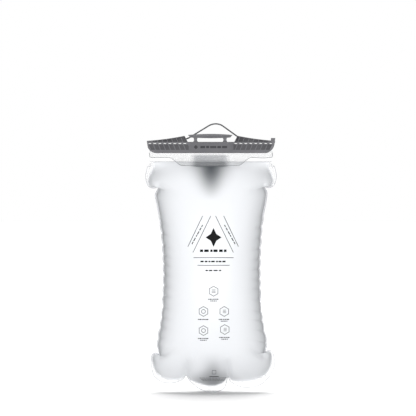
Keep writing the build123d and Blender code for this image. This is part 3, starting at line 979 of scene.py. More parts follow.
    def _gather(self, z: float, side: str) -> float:
        """Scallop between two gathers: 0 at a gather, 1 halfway to the next.

        Args:
            z: The height, in millimetres.
            side: left or right.

        Returns:
            From 0 to 1.
        """
        offset = 0.0 if side == "left" else self.gather_offset
        row, layer = self.gather_noise
        uneven = self.gather_uneven * noise.noise(Vector((z * self.gather_roam, row * offset, layer)))
        return abs(math.sin(math.pi * (z / self.gather_pitch + offset + uneven))) ** self.gather_sharpness

    def depth_at(self, v: float) -> float:
        """Gives the half-depth on the middle line.

        Args:
            v: From 0, the throat, to 1, the bottom weld.

        Returns:
            Millimetres.
        """
        low, high = self.depths[-1][0], self.depths[0][0]
        z = high + v * (low - high)
        index = max(i for i in range(len(self.depths) - 1) if self.depths[i][0] >= z or i == 0)
        (z0, d0), (z1, d1) = self.depths[index], self.depths[index + 1]
        t = (z - z0) / (z1 - z0)
        m0, m1 = (self._rise(i) * (z1 - z0) for i in (index, index + 1))
        return max(0.0, (2 * t ** 3 - 3 * t ** 2 + 1) * d0 + (t ** 3 - 2 * t ** 2 + t) * m0
                   + (3 * t ** 2 - 2 * t ** 3) * d1 + (t ** 3 - t ** 2) * m1)

    def _rise(self, index: int) -> float:
        """Slope of the depth at one height of the table."""
        a, b = self.depths[max(index - 1, 0)], self.depths[min(index + 1, len(self.depths) - 1)]
        return (b[1] - a[1]) / (b[0] - a[0])

    def place(self, u: float, v: float, film: Film) -> Vector:
        """Gives a point of an inflated panel.

        Args:
            u: From -1, the left weld, to 1, the right weld.
            v: From 0, the throat, to 1, the bottom weld.
            film: Which film.

        Returns:
            The point in millimetres.
        """
        side = "left" if u < 0 else "right"
        edge = self.edge(side, v, 0.0)
        corner = self._plain(math.copysign(1.0, u), v)
        spot = self._plain(u, v) + (edge - corner) * abs(u) ** self.edge_power
        spot += self._low_shift(u) * v ** self.foot_power
        dent, crease = self._side_dent(u, edge.y, side), self._crease(spot.x, spot.y)
        y = self.depth_at(v) * (1 - abs(u) ** self.round_power) ** self.round_root * (1 - dent) * (1 - crease)
        return Vector((spot.x, film.value * (y + self.wall * 0.5), spot.y))

    def _plain(self, u: float, v: float) -> Vector:
        """Plain patch before its edges are drawn to the weld.

        Args:
            u: Column, from -1 to 1.
            v: Row, from 0 to 1.

        Returns:
            The point in (x, z), in millimetres.
        """
        run = min(max((v - self.waist_start) / self.waist_run, 0), 1)
        half = self.chest_half - self.waist_draw * math.sin(math.pi * run) ** self.waist_power
        return Vector((u * half, self.throat_z + v * (self.foot_z - self.throat_z)))

    def _low_shift(self, u: float) -> Vector:
        """How far the bottom weld lies from the plain patch's lower edge.

        Args:
            u: Column, from -1 to 1.

        Returns:
            The shift in (x, z), in millimetres.
        """
        side = "left" if u < 0 else "right"
        shift = self.edge(side, 1.0, 0.0) - self._plain(math.copysign(1.0, u), 1.0)
        base = self._plain(u, 1.0) + shift * abs(u) ** self.edge_power
        return self.edge("bottom", (u + 1) / 2, 0.0) - base

    def _side_dent(self, u: float, z: float, side: str) -> float:
        """Dent of the gathers that run in from a side weld.

        Args:
            u: Column, from -1 to 1.
            z: Height of the side weld in that row.
            side: left or right.

        Returns:
            The share of the depth that is taken off.
        """
        inward = (1 - abs(u)) * self.chest_half
        fade = math.exp(-(inward / self.gather_reach) ** self.dent_power)
        return self.gather_dent * fade * (1 - self._gather(z, side)) * self._gather_zone(z)

    def _crease(self, x: float, z: float) -> float:
        """Dent of the folds that run in from the notches.

        Args:
            x: Across, in millimetres.
            z: Up.

        Returns:
            The share of the depth that is taken off.
        """
        total = 0.0
        for x0, z0, x1, z1, width, deep in self.creases:
            way = Vector((x1 - x0, z1 - z0))
            t = min(max(Vector((x - x0, z - z0)).dot(way) / way.length_squared, 0.0), 1.0)
            gap = (Vector((x, z)) - Vector((x0, z0)) - way * t).length
            total = max(total, deep * (1 - t) ** self.crease_power * math.exp(-(gap / width) ** 2))
        return total

    def build_panel(self, film: Film, material: bpy.types.Material) -> bpy.types.Object:
        """Builds one film's inflated panel with its welded margin.

        Args:
            film: Which film.
            material: Its finish.

        Returns:
            The panel.
        """
        m = self.margin_rows
        across, down = self.columns + 2 * m, self.rows + m
        bm = bmesh.new()
        bmesh.ops.create_grid(bm, x_segments=across, y_segments=down, size=0.5)
        welded = bm.verts.layers.float.new("welded")
        shaded = bm.verts.layers.float.new("shaded")
        held, cut = [], []
        for index, vert in enumerate(bm.verts):
            i = round((vert.co.x + 0.5) * across) - m
            j = round((0.5 - vert.co.y) * down)
            over, below = max(-i, i - self.columns, 0), max(j - self.rows, 0)
            t = min(max(2 * i / self.columns - 1, -1), 1)
            u = (1 - self.bunching) * t + self.bunching * math.sin(t * math.pi / 2)
            v = min(j / self.rows, 1)
            if over or below:
                flat = self._margin(u, v, over / m, below / m)
                spot = Vector((flat.x, film.value * self.wall * 0.5, flat.y))
            else:
                spot = self.place(u, v, film)
            vert[welded] = 1.0 if over or below else 0.0
            inward = (1 - abs(u)) * self.chest_half
            # painted shade: the film is darkened towards the side welds, added to the painted V and bottom
            # shade
            reach = self.painted_edge_shade_reach[0 if u < 0 else 1]
            tone = self.painted_edge_shade * math.exp(-(inward / reach) ** self.painted_edge_shade_power)
            tone *= smoothstep(0.0, self.painted_edge_shade_start, v)
            vert[shaded] = max(self.shade.at(spot.x, spot.z), tone) if not (over or below) else 0.0
            vert.co = spot * MM
            if over or below or i in (0, self.columns) or j in (0, self.rows):
                held.append(index)
            cut.append(self._unstretched(spot, inward, film) * MM)
        bm.normal_update()
        centre = Vector((0, 0, self.middle_z * MM))
        middle = min(bm.faces, key=lambda f: (f.calc_center_median() - centre).xz.length)
        if middle.normal.y * film.value < 0:
            bmesh.ops.reverse_faces(bm, faces=bm.faces)
        panel = make_object(f"{film.name.lower()}_panel", bm, material)
        self.relax.run(panel, held, cut)
        add_modifier(panel, "SUBSURF", levels=1, render_levels=1)
        add_modifier(panel, "SOLIDIFY", thickness=self.wall * MM, offset=0.0)
        return panel

    def _unstretched(self, spot: Vector, inward: float, film: Film) -> Vector:
        """Gives a point of the film as it was cut: longer beside the side welds, so that it gathers there.

        Args:
            spot: The point as it is shaped, in millimetres.
            inward: How far it is from the side weld.
            film: Which film.

        Returns:
            The point in millimetres.
        """
        fade = smoothstep(0.0, self.slack_start, inward) * math.exp(-(inward / self.slack_reach) ** 2)
        wave = math.cos(2 * math.pi * spot.z / self.gather_pitch) * fade * self._gather_zone(spot.z)
        return spot + Vector((0.0, film.value * self.slack * wave, 0.0))

    def _margin(self, u: float, v: float, over: float, below: float) -> Vector:
        """Gives a point of the flat margin.

        Args:
            u: Column, from -1 to 1.
            v: Row, from 0 to 1.
            over: How far past a side weld, from 0 to 1.
            below: How far past the bottom weld, from 0 to 1.

        Returns:
            The point in (x, z), in millimetres.
        """
        side = "left" if u < 0 else "right"
        if not below:
            return self.edge(side, v, over)
        if not over:
            return self.edge("bottom", (u + 1) / 2, below)
        corner = self.edge(side, 1.0, 0.0)
        by_side = self.edge(side, 1.0, 1.0) - corner
        by_foot = self.edge("bottom", 0.0 if u < 0 else 1.0, 1.0) - corner
        way = by_side.lerp(by_foot, below / (over + below))
        return corner + way.normalized() * by_side.length * max(over, below)

    def rim(self, out: float, film: Film) -> list[Vector]:
        """Gives a line along the margin, down the left, round the bottom and up the right.

        Args:
            out: How far out of the weld, from 0 to 1.
            film: Which film it lies on.

        Returns:
            Points in millimetres.
        """
        y = film.value * (self.wall + self.rim_lift)
        shares = [k / self.side_steps for k in range(self.side_steps + 1)]
        flat = [self.edge("left", s, out) for s in shares]
        flat += [self.edge("bottom", k / self.foot_steps, out) for k in range(self.foot_steps + 1)]
        flat += [self.edge("right", s, out) for s in reversed(shares)]
        return [Vector((p.x, y, p.y)) for p in flat]


@dataclass
class MouthFold:
    """The mouth strip of each film, folded forward in the closure, and the flap in front."""

    half_width: float = 85.5
    throat_z: float = -33.0
    fold_y: float = -0.7
    fold_z: float = -11.5
    mid_gap: float = 0.25
    kink_z: float = -29.0
    lean: float = 0.47
    side_hem_z: float = -27.0
    tab_hem_z: float = -38.0
    tab_bow: float = 0.6
    bow_half: float = 50.0
    # where the hem sags a little on the right: from, lowest, to
    dip: tuple[float, float, float] = (60.0, 72.0, 84.0)
    dip_depth: float = 0.5
    tab_left: tuple[float, float] = (-59.0, -39.5)
    tab_right: tuple[float, float] = (37.0, 56.5)
    corner_radius: float = 3.0
    columns: int = 114
    strip_rows: int = 8
    turn_rows: int = 6
    fall_rows: int = 16
    hem_steps: int = 150
    end_lifts: tuple[float, float] = (4.0, 1.5)
    wall: float = 0.49
    strip_painted_shade: float = 0.8
    shade: PaintedShade = PaintedShade()

    def hem_z(self, x: float) -> float:
        """Gives the flap's lower edge at a place along it.

        Args:
            x: Millimetres from the middle.

        Returns:
            Its height.
        """
        tab = smoothstep(*self.tab_left, x) * (1 - smoothstep(*self.tab_right, x))
        hem = self.side_hem_z + tab * (self.tab_hem_z - self.side_hem_z)
        hem -= self.tab_bow * tab * (1 - (x / self.bow_half) ** 2)
        start, middle, end = self.dip
        hem -= self.dip_depth * smoothstep(start, middle, x) * (1 - smoothstep(middle, end, x))
        inset = max(0.0, abs(x) - (self.half_width - self.corner_radius))
        return hem + self.corner_radius - math.sqrt(max(0.0, self.corner_radius ** 2 - inset ** 2))

    def flap_y(self, film: Film, z: float) -> float:
        """Gives how far out the flap hangs at a height.

        Args:
            film: Which film.
            z: The height.

        Returns:
            The middle of the film, in millimetres.
        """
        near = self.fold_y - self._radius(film)
        return near - self.lean * max(0.0, self.kink_z - z)

    def _radius(self, film: Film) -> float:
        """Radius of the fold to the middle of one film."""
        return -self.fold_y + film.value * self.mid_gap

    def build(self, film: Film, material: bpy.types.Material) -> bpy.types.Object:
        """Builds one film's strip, fold and flap.

        Args:
            film: Which film.
            material: Its finish.

        Returns:
            The piece.
        """
        strip, turn, fall = self.strip_rows, self.turn_rows, self.fall_rows
        rows = strip + turn + fall
        radius = self._radius(film)
        bm = bmesh.new()
        bmesh.ops.create_grid(bm, x_segments=self.columns, y_segments=rows, size=0.5)
        welded = bm.verts.layers.float.new("welded")
        shaded = bm.verts.layers.float.new("shaded")
        for vert in bm.verts:
            x = 2 * vert.co.x * self.half_width
            j = round((0.5 - vert.co.y) * rows)
            if j <= strip:
                z = self.throat_z + (self.fold_z - self.throat_z) * j / strip
                spot = Vector((x, self.fold_y + radius, z))
            elif j <= strip + turn:
                angle = math.pi * (j - strip) / turn
                y, z = self.fold_y + radius * math.cos(angle), self.fold_z + radius * math.sin(angle)
                spot = Vector((x, y, z))
            else:
                z = self.fold_z + (self.hem_z(x) - self.fold_z) * (j - strip - turn) / fall
                spot = Vector((x, self.flap_y(film, z), z))
            vert[welded] = 1.0
            # painted shade on the front strip, which shows through the flap
            seen = j <= strip and film is Film.FRONT
            vert[shaded] = self.strip_painted_shade * self.shade.at(spot.x, spot.z) if seen else 0.0
            vert.co = spot * MM
        bm.normal_update()
        piece = make_object(f"{film.name.lower()}_mouth", bm, material)
        add_modifier(piece, "SOLIDIFY", thickness=self.wall * MM, offset=0.0)
        return piece

    def hem(self, film: Film) -> list[Vector]:
        """Gives the line of one film's cut edge, from the fold down one side and up the other.

        Args:
            film: Which film.

        Returns:
            Points in millimetres.
        """
        steps = range(-self.hem_steps, self.hem_steps + 1)
        xs = [self.half_width * math.sin(math.pi / 2 * k / self.hem_steps) for k in steps]
        points = [Vector((x, self.flap_y(film, self.hem_z(x)), self.hem_z(x))) for x in xs]
        lift = [Vector((0, 0, dz)) for dz in self.end_lifts]
        first = [points[0] + move for move in lift]
        last = [points[-1] + move for move in reversed(lift)]
        ends = [Vector((p.x, self.flap_y(film, p.z), p.z)) for p in first + last]
        return ends[:2] + points + ends[2:]


# ------------------------------------------------------------------ closure, cord and port
@dataclass
class SlideClosure:
    """The slide closure: its moulded finish and a raised generic mark on the middle panel."""

    front_y: float = -7.6
    mark_z: float = -12.6
    mark_left: float = -21.0
    diamond: float = 4.3
    dash_height: float = 3.0
    dash_rise: float = 0.22
    dashes: tuple[float, ...] = (6.5, 4.0, 8.5, 5.0, 7.0)
    dash_gap: float = 1.5
    diamond_gap: float = 2.0
    mark_bevel: float = 0.12
    # the closure's pockets get painted shade
    finish: MouldedFinish = MouldedFinish(
        "charcoal_moulding", (0.100, 0.099, 0.108, 1), (0.22, 0.218, 0.23, 1), 0.5, 0.66,
        pocket_shade_colour=(0.058, 0.057, 0.064, 1))
    mark_finish: MouldedFinish = MouldedFinish(
        "charcoal_mark", (0.024, 0.024, 0.028, 1), (0.05, 0.05, 0.06, 1), 0.5, 0.66, wear=0.2)

    def build(self, node: bpy.types.Object) -> None:
        """Dresses the moulding and adds the mark.

        Args:
            node: The closure's CAD node.
        """
        dress(node, self.finish.build())
        bm = bmesh.new()
        self._block(bm, self.mark_left, self.diamond, self.diamond, turn=math.pi / 4)
        x = self.mark_left + self.diamond + self.diamond_gap
        for length in self.dashes:
            self._block(bm, x + length / 2, length, self.dash_height)
            x += length + self.dash_gap
        bmesh.ops.bevel(bm, geom=bm.edges[:], offset=self.mark_bevel * MM, segments=2, affect="EDGES",
                        profile=0.5, material=-1)
        mark = make_object("closure_mark", bm, self.mark_finish.build(), smooth=False)
        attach(mark, "closure")
        log.info("slide closure dressed, mark added")

    def _block(self, bm: bmesh.types.BMesh, x: float, width: float, height: float,
               turn: float = 0.0) -> None:
        """Adds one raised block of the mark.

        Args:
            bm: The mesh to add to.
            x: Its middle.
            width: Its width.
            height: Its height.
            turn: How far it is turned in the panel's plane.
        """
        made = bmesh.ops.create_cube(bm, size=1.0)
        bmesh.ops.scale(bm, verts=made["verts"], vec=(width * MM, 2 * self.dash_rise * MM, height * MM))
        bmesh.ops.rotate(bm, verts=made["verts"], matrix=Matrix.Rotation(turn, 3, "Y"))
        bmesh.ops.translate(bm, verts=made["verts"], vec=Vector((x, self.front_y, self.mark_z)) * MM)


@dataclass(frozen=True)
class BraidFinish:
    """Fine two-way braid of a synthetic cord."""

    name: str
    dark: Colour = (0.035, 0.036, 0.038, 1)
    light: Colour = (0.075, 0.077, 0.082, 1)
    wave_scale: float = 95.0
    wave_distortion: float = 0.4
    lay_angle: float = 35.0
    depth: float = 0.00015
    roughness: float = 0.7
    sheen: float = 0.25

    def build(self) -> bpy.types.Material:
        """Builds the material.

        Returns:
            The new material.
        """
        material, nodes, links, shader = start_material(self.name)
        place = nodes.new("ShaderNodeTexCoord")
        waves = []
        for turn in (self.lay_angle, -self.lay_angle):
            spin, wave = nodes.new("ShaderNodeMapping"), nodes.new("ShaderNodeTexWave")
            spin.inputs["Rotation"].default_value = (0, math.radians(turn), math.radians(turn))
            wave.inputs["Scale"].default_value = self.wave_scale
            wave.inputs["Distortion"].default_value = self.wave_distortion
            links.new(place.outputs["Object"], spin.inputs["Vector"])
            links.new(spin.outputs["Vector"], wave.inputs["Vector"])
            waves.append(wave)
        cross = nodes.new("ShaderNodeMath")
        cross.operation = "MAXIMUM"
        tone, bump = colour_mix(nodes, self.dark, self.light), nodes.new("ShaderNodeBump")
        bump.inputs["Distance"].default_value = self.depth
        for index, wave in enumerate(waves):
            links.new(wave.outputs["Fac"], cross.inputs[index])
        links.new(cross.outputs[0], tone.inputs["Factor"])
        links.new(cross.outputs[0], bump.inputs["Height"])
        links.new(tone.outputs["Result"], shader.inputs["Base Color"])
        links.new(bump.outputs["Normal"], shader.inputs["Normal"])
        shader.inputs["Roughness"].default_value = self.roughness
        shader.inputs["Sheen Weight"].default_value = self.sheen
        return material


@dataclass
class HangCord:
    """The hanging cord, from knot to knot over the carry bar."""

    diameter: float = 0.002
    length: float = 0.1104
    exit: tuple[float, float, float] = (-0.0442, 0.0039, -0.0023)
    route: tuple[tuple[float, float, float], ...] = (
        (-0.04895, 0.0039, -0.0023), (-0.0355, 0.0039, -0.0023), (-0.0240, 0.0039, 0.0047),
        (-0.0083, 0.0039, 0.0143), (0.0012, 0.0039, 0.0201), (0.0123, 0.0039, 0.0201),
        (0.0213, 0.0039, 0.0136), (0.0389, 0.0039, 0.0009), (0.0434, 0.0039, -0.0023),
        (0.04895, 0.0039, -0.0023))
    finish: BraidFinish = BraidFinish("braided_cord")

    def build(self, knots: Sequence[bpy.types.Object]) -> None:
        """Builds the cord and dresses its knots.

        Args:
            knots: The two knots' CAD nodes.
        """
        braid = self.finish.build()
        curve = bpy.data.curves.new("hanging_cord", "CURVE")
        curve.dimensions = "3D"
        curve.bevel_depth = self.diameter / 2
        curve.bevel_resolution = 5
        curve.resolution_u = 10
        curve.use_fill_caps = True
        spline = curve.splines.new("NURBS")
        spline.points.add(len(self.route) - 1)
        for point, spot in zip(spline.points, self.route):
            point.co = (*spot, 1.0)
        spline.order_u = 3
        spline.use_endpoint_u = True
        cord = link_object("hanging_cord", curve)
        curve.materials.append(braid)
        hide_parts("hang_cord")
        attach(cord, "hang_loop")
        for knot in knots:
            dress(knot, braid)
        log.info("hanging cord: %.1f mm", self.length / MM)


@dataclass(frozen=True)
class Spring:
    """A coil that goes with one joint: its fixed end, its axis and what share of its length is left."""

    node: str
    joint: str
    axis: tuple[float, float, float]
    anchor: tuple[float, float, float]
    keep: float

    def build(self, nodes: dict[str, bpy.types.Object]) -> None:
        """Gives the coil a mesh of its own.

        Args:
            nodes: The frame's nodes by name.
        """
        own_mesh(nodes[self.node])
        log.info("%s shortens with %s", self.node, self.joint)


@dataclass
class HosePort:
    """The hose port: every moulded, rubber and steel piece in its own finish, and its two springs."""

    boss: MouldedFinish = MouldedFinish(
        "natural_boss", (0.70, 0.72, 0.75, 1), (0.82, 0.83, 0.85, 1), 0.30, 0.45, subsurface=0.15, alpha=0.9)
    body: MouldedFinish = MouldedFinish("port_charcoal", (0.050, 0.051, 0.056, 1), (0.12, 0.12, 0.13, 1))
    latch: MouldedFinish = MouldedFinish(
        "latch_blue", (0.016, 0.135, 0.34, 1), (0.08, 0.26, 0.50, 1), 0.30, 0.42)
    rubber: MouldedFinish = MouldedFinish(
        "black_rubber", (0.014, 0.014, 0.015, 1), (0.03, 0.03, 0.032, 1), 0.55, 0.75, wear=0.2)
    acetal: MouldedFinish = MouldedFinish(
        "natural_acetal", (0.72, 0.72, 0.70, 1), (0.80, 0.80, 0.79, 1), 0.25, 0.38)
    rail: MouldedFinish = MouldedFinish(
        "natural_bead", (0.62, 0.64, 0.66, 1), (0.75, 0.76, 0.78, 1), 0.35, 0.5)
    steel: MouldedFinish = MouldedFinish(
        "spring_steel", (0.46, 0.45, 0.44, 1), (0.62, 0.61, 0.60, 1), 0.22, 0.36,
        grain_depth=0.000008, metallic=1.0)
    springs: tuple[Spring, ...] = (
        Spring("valve_spring", "poppet_slide", axis=(0.0, 1.0, 0.0),
               anchor=(0.0, 0.01165, -0.309), keep=0.59),
        Spring("latch_spring", "latch_slide", axis=(0.0, 0.0, 1.0),
               anchor=(0.0, 0.0312, -0.32075), keep=0.61))

    def build(self, nodes: dict[str, bpy.types.Object]) -> None:
        """Dresses the CAD nodes and gives each spring a mesh of its own.

        Args:
            nodes: The frame's nodes by name.
        """
        for finish, names in (
                (self.boss, ("port_boss",)), (self.body, ("port_body",)), (self.latch, ("release_latch",)),
                (self.rubber, ("body_o_ring", "poppet_seal")),
                (self.acetal, ("valve_retainer", "valve_poppet")),
                (self.rail, ("front_seal_rail", "back_seal_rail")),
                (self.steel, ("valve_spring", "latch_spring"))):
            material = finish.build()
            for name in names:
                dress(nodes[name], material)
                log.info("%s dressed as %s", name, finish.name)
        for spring in self.springs:
            spring.build(nodes)


# ------------------------------------------------------------------ beads and print on the film
@dataclass(frozen=True)
class BeadFinish:
    """Clear film seen edge-on: a soft grey line with a faint gloss."""

    name: str
    colour: Colour
    alpha: float = 1.0
    roughness: float = 0.35
    specular: float = 0.3
    spread: float = 0.2
    cloud_scale: float = 90.0

    def build(self) -> bpy.types.Material:
        """Builds the material.

        Returns:
            The new material.
        """
        material, nodes, links, shader = start_material(self.name)
        place, cloud = nodes.new("ShaderNodeTexCoord"), nodes.new("ShaderNodeTexNoise")
        dark, light = brighter(self.colour, 1 - self.spread), brighter(self.colour, 1 + self.spread)
        tone = colour_mix(nodes, dark, light)
        cloud.inputs["Scale"].default_value = self.cloud_scale
        links.new(place.outputs["Object"], cloud.inputs["Vector"])
        links.new(cloud.outputs["Fac"], tone.inputs["Factor"])
        links.new(tone.outputs["Result"], shader.inputs["Base Color"])
        shader.inputs["Alpha"].default_value = self.alpha
        shader.inputs["Roughness"].default_value = self.roughness
        shader.inputs["Specular IOR Level"].default_value = self.specular
        return material


@dataclass
class FilmEdges:
    """Cut edges and weld lines of the film, each a thin bead."""

    bag: FilmBag
    mouth: MouthFold
    hem_radius: float = 0.28
    rim_radius: float = 0.40
    weld_radius: float = 0.14
    weld_places: tuple[float, ...] = (0.36, 0.68)
    throat_lift: float = 0.1
    throat_rise: float = 0.5
    throat_pitch: float = 2.0
    throat_steps: int = 42
    throat_share: float = 1.4
    cut: BeadFinish = BeadFinish("cut_edge", (0.17, 0.18, 0.19, 1), alpha=0.9)
    rim: BeadFinish = BeadFinish("rim_edge", (0.62, 0.63, 0.67, 1), alpha=0.55)
    weld: BeadFinish = BeadFinish("weld_line", (0.60, 0.61, 0.64, 1), alpha=0.6)

    def build(self) -> None:
        """Builds the beads on both films."""
        cut, rim, weld = self.cut.build(), self.rim.build(), self.weld.build()
        for film in Film:
            side = film.name.lower()
            self._keep(bead(f"{side}_hem", self.mouth.hem(film), self.hem_radius, cut))
            self._keep(bead(f"{side}_rim", self.bag.rim(1.0, film), self.rim_radius, rim))
            for index, out in enumerate(self.weld_places):
                line = self.bag.rim(out, film)
                self._keep(bead(f"{side}_weld_{index + 1}", line, self.weld_radius, weld))
            y, z = film.value * (self.bag.wall + self.throat_lift), self.bag.throat_z + self.throat_rise
            steps = range(-self.throat_steps, self.throat_steps + 1)
            throat = [Vector((k * self.throat_pitch, y, z)) for k in steps]
            self._keep(bead(f"{side}_throat_weld", throat, self.weld_radius * self.throat_share, weld))

    @staticmethod
    def _keep(piece: bpy.types.Object) -> None:
        """Makes a bead ride on the bag.

        Args:
            piece: The bead.
        """
        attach(piece, "bag")
        log.info("%s", piece.name)


@dataclass(frozen=True)
class DashRow:
    """A level row of dashes in place of a word: its ends, its height, the dashes' width and their number."""

    first: float
    last: float
    z: float
    width: float
    count: int


@dataclass(frozen=True)
class BadgePlan:
    """Places of the badge's parts, in millimetres: across from its middle line, and up."""

    x: float = 3.4
    # slanted frame lines: upper end, lower end, and their heights
    frame: tuple[tuple[float, float, float, float], ...] = (
        (15.0, 35.2, -108.0, -150.0), (3.8, 28.2, -108.0, -158.0))
    frame_width: float = 0.75
    right_draw: float = 1.0
    slant_start: tuple[float, float] = (29.6, -146.5)
    slant_end: tuple[float, float] = (14.5, -119.5)
    slant_width: float = 1.3
    slant_count: int = 6
    bars: tuple[tuple[float, float], ...] = ((27.5, -165.1), (22.0, -175.5))
    bar_width: float = 0.8
    rows: tuple[DashRow, ...] = (DashRow(-18.0, 18.0, -170.3, 2.1, 7), DashRow(-11.0, 11.5, -182.6, 1.7, 4))
    title: DashRow = DashRow(-18.6, 19.0, -155.6, 3.4, 6)
    star_z: float = -137.3
    star_half: tuple[float, float] = (11.0, 13.0)


@dataclass(frozen=True)
class IconPlan:
    """Places of the care icons and of the signs in them, in millimetres."""

    spots: tuple[tuple[float, float], ...] = (
        (3.5, -211.0), (-10.4, -238.8), (18.1, -238.8), (-10.4, -265.2), (18.8, -263.8))
    hexagon: float = 7.2
    hexagon_width: float = 0.8
    circle: float = 3.0
    circle_width: float = 0.7
    circle_sides: int = 24
    bar_rises: tuple[float, ...] = (-1.8, 0.0, 1.8)
    bar_half: float = 2.6
    bar_cut: float = 0.3
    bar_width: float = 0.6
    row: DashRow = DashRow(-7.6, 7.6, -11.0, 1.3, 5)
    second_row: DashRow = DashRow(-4.6, 4.6, -13.4, 1.2, 4)
    single_row_icon: int = 1


@dataclass(frozen=True)
class NotesPlan:
    """Places of the small print at the bottom, in millimetres."""

    x: float = 4.2
    box_z: float = -324.0
    box: float = 4.0
    box_width: float = 0.6
    line_half: float = 6.5
    line_z: float = -330.4
    line_width: float = 0.9
    row_half: float = 20.0
    row_z: float = -332.6
    row_step: float = 2.0
    row_width: float = 0.6
    row_dashes: int = 15
    row_count: int = 3


@dataclass(frozen=True)
class ScalePlan:
    """Places of the volume scale's ticks on the back, in millimetres."""

    x: float = -46.0
    top: float = -96.0
    pitch: float = 11.5
    count: int = 17
    long_tick: float = 8.0
    short_tick: float = 4.5
    width: float = 0.7


@dataclass
class FilmPrint:
    """Ink on one film: frame lines, a generic star, icons and rows of dashes in place of words."""

    panel: bpy.types.Object
    film: Film
    ink: bpy.types.Material
    lift: float = 0.05
    thickness: float = 0.06
    reach: float = 0.2
    stroke_pitch: float = 3.0
    dash_uneven: float = 0.35
    dash_turn: float = 2.4
    dash_share: float = 0.74
    star_corners: int = 8
    star_waist: float = 0.5

    def __post_init__(self) -> None:
        """Reads the film's finished surface."""
        self._tree = BVHTree.FromObject(self.panel, bpy.context.evaluated_depsgraph_get())

    def _finish(self, name: str, bm: bmesh.types.BMesh) -> bpy.types.Object:
        """Lays flat shapes on the film and gives them the thickness of ink.

        Args:
            name: The piece's name.
            bm: Shapes drawn in the plane of x and z, in millimetres.

        Returns:
            The printed piece.
        """
        facing = self.film.value
        bmesh.ops.triangulate(bm, faces=[f for f in bm.faces if len(f.verts) > 4])
        for vert in bm.verts:
            start = Vector((vert.co.x * MM, self.reach * facing, vert.co.z * MM))
            hit = self._tree.ray_cast(start, Vector((0, -facing, 0)))[0]
            y = hit.y if hit else 0.0
            vert.co = Vector((start.x, y + facing * self.lift * MM, start.z))
        bm.normal_update()
        wrong = [f for f in bm.faces if f.normal.y * facing < 0]
        bmesh.ops.reverse_faces(bm, faces=wrong)
        piece = make_object(name, bm, self.ink, smooth=False)
        add_modifier(piece, "SOLIDIFY", thickness=self.thickness * MM, offset=1.0)
        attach(piece, "bag")
        log.info("%s", name)
        return piece

    def stroke(self, bm: bmesh.types.BMesh, start: tuple[float, float], end: tuple[float, float],
               width: float) -> None:
        """Adds a straight stroke.

        Args:
            bm: The mesh to add to.
            start: First point in x and z.
            end: Last point.
            width: The stroke's width.
        """
        way = Vector(end) - Vector(start)
        cuts = max(1, round(way.length / self.stroke_pitch))
        made = bmesh.ops.create_grid(bm, x_segments=cuts, y_segments=1, size=0.5)
        bmesh.ops.scale(bm, verts=made["verts"], vec=(way.length, width, 1))
        bmesh.ops.rotate(bm, verts=made["verts"], matrix=Matrix.Rotation(math.pi / 2, 3, "X"))
        turn = Matrix.Rotation(-math.atan2(way.y, way.x), 3, "Y")
        bmesh.ops.rotate(bm, verts=made["verts"], matrix=turn)
        middle = (Vector(start) + Vector(end)) / 2
        bmesh.ops.translate(bm, verts=made["verts"], vec=(middle.x, 0, middle.y))

    @staticmethod
    def ring(bm: bmesh.types.BMesh, x: float, z: float, radius: float, width: float, sides: int,
             turn: float = 0.0) -> None:
        """Adds an outline with equal sides.

        Args:
            bm: The mesh to add to.
            x: Middle, across.
            z: Middle, up.
            radius: To the outer corners.
            width: The outline's width.
            sides: How many sides.
            turn: How far it is turned.
        """
        loops = []
        for size in (radius, radius - width):
            made = bmesh.ops.create_circle(bm, segments=sides, radius=size)
            bmesh.ops.rotate(bm, verts=made["verts"], matrix=Matrix.Rotation(turn, 3, "Z"))
            loops.extend({e for v in made["verts"] for e in v.link_edges})
        verts = list({v for e in loops for v in e.verts})
        bmesh.ops.bridge_loops(bm, edges=loops)
        bmesh.ops.rotate(bm, verts=verts, matrix=Matrix.Rotation(math.pi / 2, 3, "X"))
        bmesh.ops.translate(bm, verts=verts, vec=(x, 0, z))

    def words(self, bm: bmesh.types.BMesh, start: tuple[float, float], end: tuple[float, float],
              height: float, count: int) -> None:
        """Adds a row of dashes of uneven length in place of a word.

        Args:
            bm: The mesh to add to.
            start: First point in x and z.
            end: Last point.
            height: The dashes' width.
            count: How many dashes.
        """
        shares = [1.0 + self.dash_uneven * math.sin(self.dash_turn * k + count) for k in range(count)]
        total, spot = sum(shares), 0.0
        a, b = Vector(start), Vector(end)
        for share in shares:
            first, last = spot / total, (spot + share * self.dash_share) / total
            self.stroke(bm, tuple(a.lerp(b, first)), tuple(a.lerp(b, last)), height)
            spot += share

    def row(self, bm: bmesh.types.BMesh, x: float, z: float, row: DashRow) -> None:
        """Adds a level row of dashes.

        Args:
            bm: The mesh to add to.
            x: The middle line that its ends count from.
            z: The height that its own counts from.
            row: The row.
        """
        self.words(bm, (x + row.first, z + row.z), (x + row.last, z + row.z), row.width, row.count)

    def star(self, bm: bmesh.types.BMesh, x: float, z: float, half_width: float, half_height: float) -> None:
        """Adds a solid four-pointed star with hollow sides.

        Args:
            bm: The mesh to add to.
            x: Middle, across.
            z: Middle, up.
            half_width: To the side points.
            half_height: To the upper and lower points.
        """
        made = bmesh.ops.create_circle(bm, segments=self.star_corners, radius=1.0, cap_ends=True)
        for index, vert in enumerate(sorted(made["verts"], key=lambda v: math.atan2(v.co.y, v.co.x))):
            angle = math.atan2(vert.co.y, vert.co.x)
            reach = 1.0 if index % 2 else self.star_waist
            vert.co = Vector((x + half_width * reach * math.cos(angle), 0,
                              z + half_height * reach * math.sin(angle)))

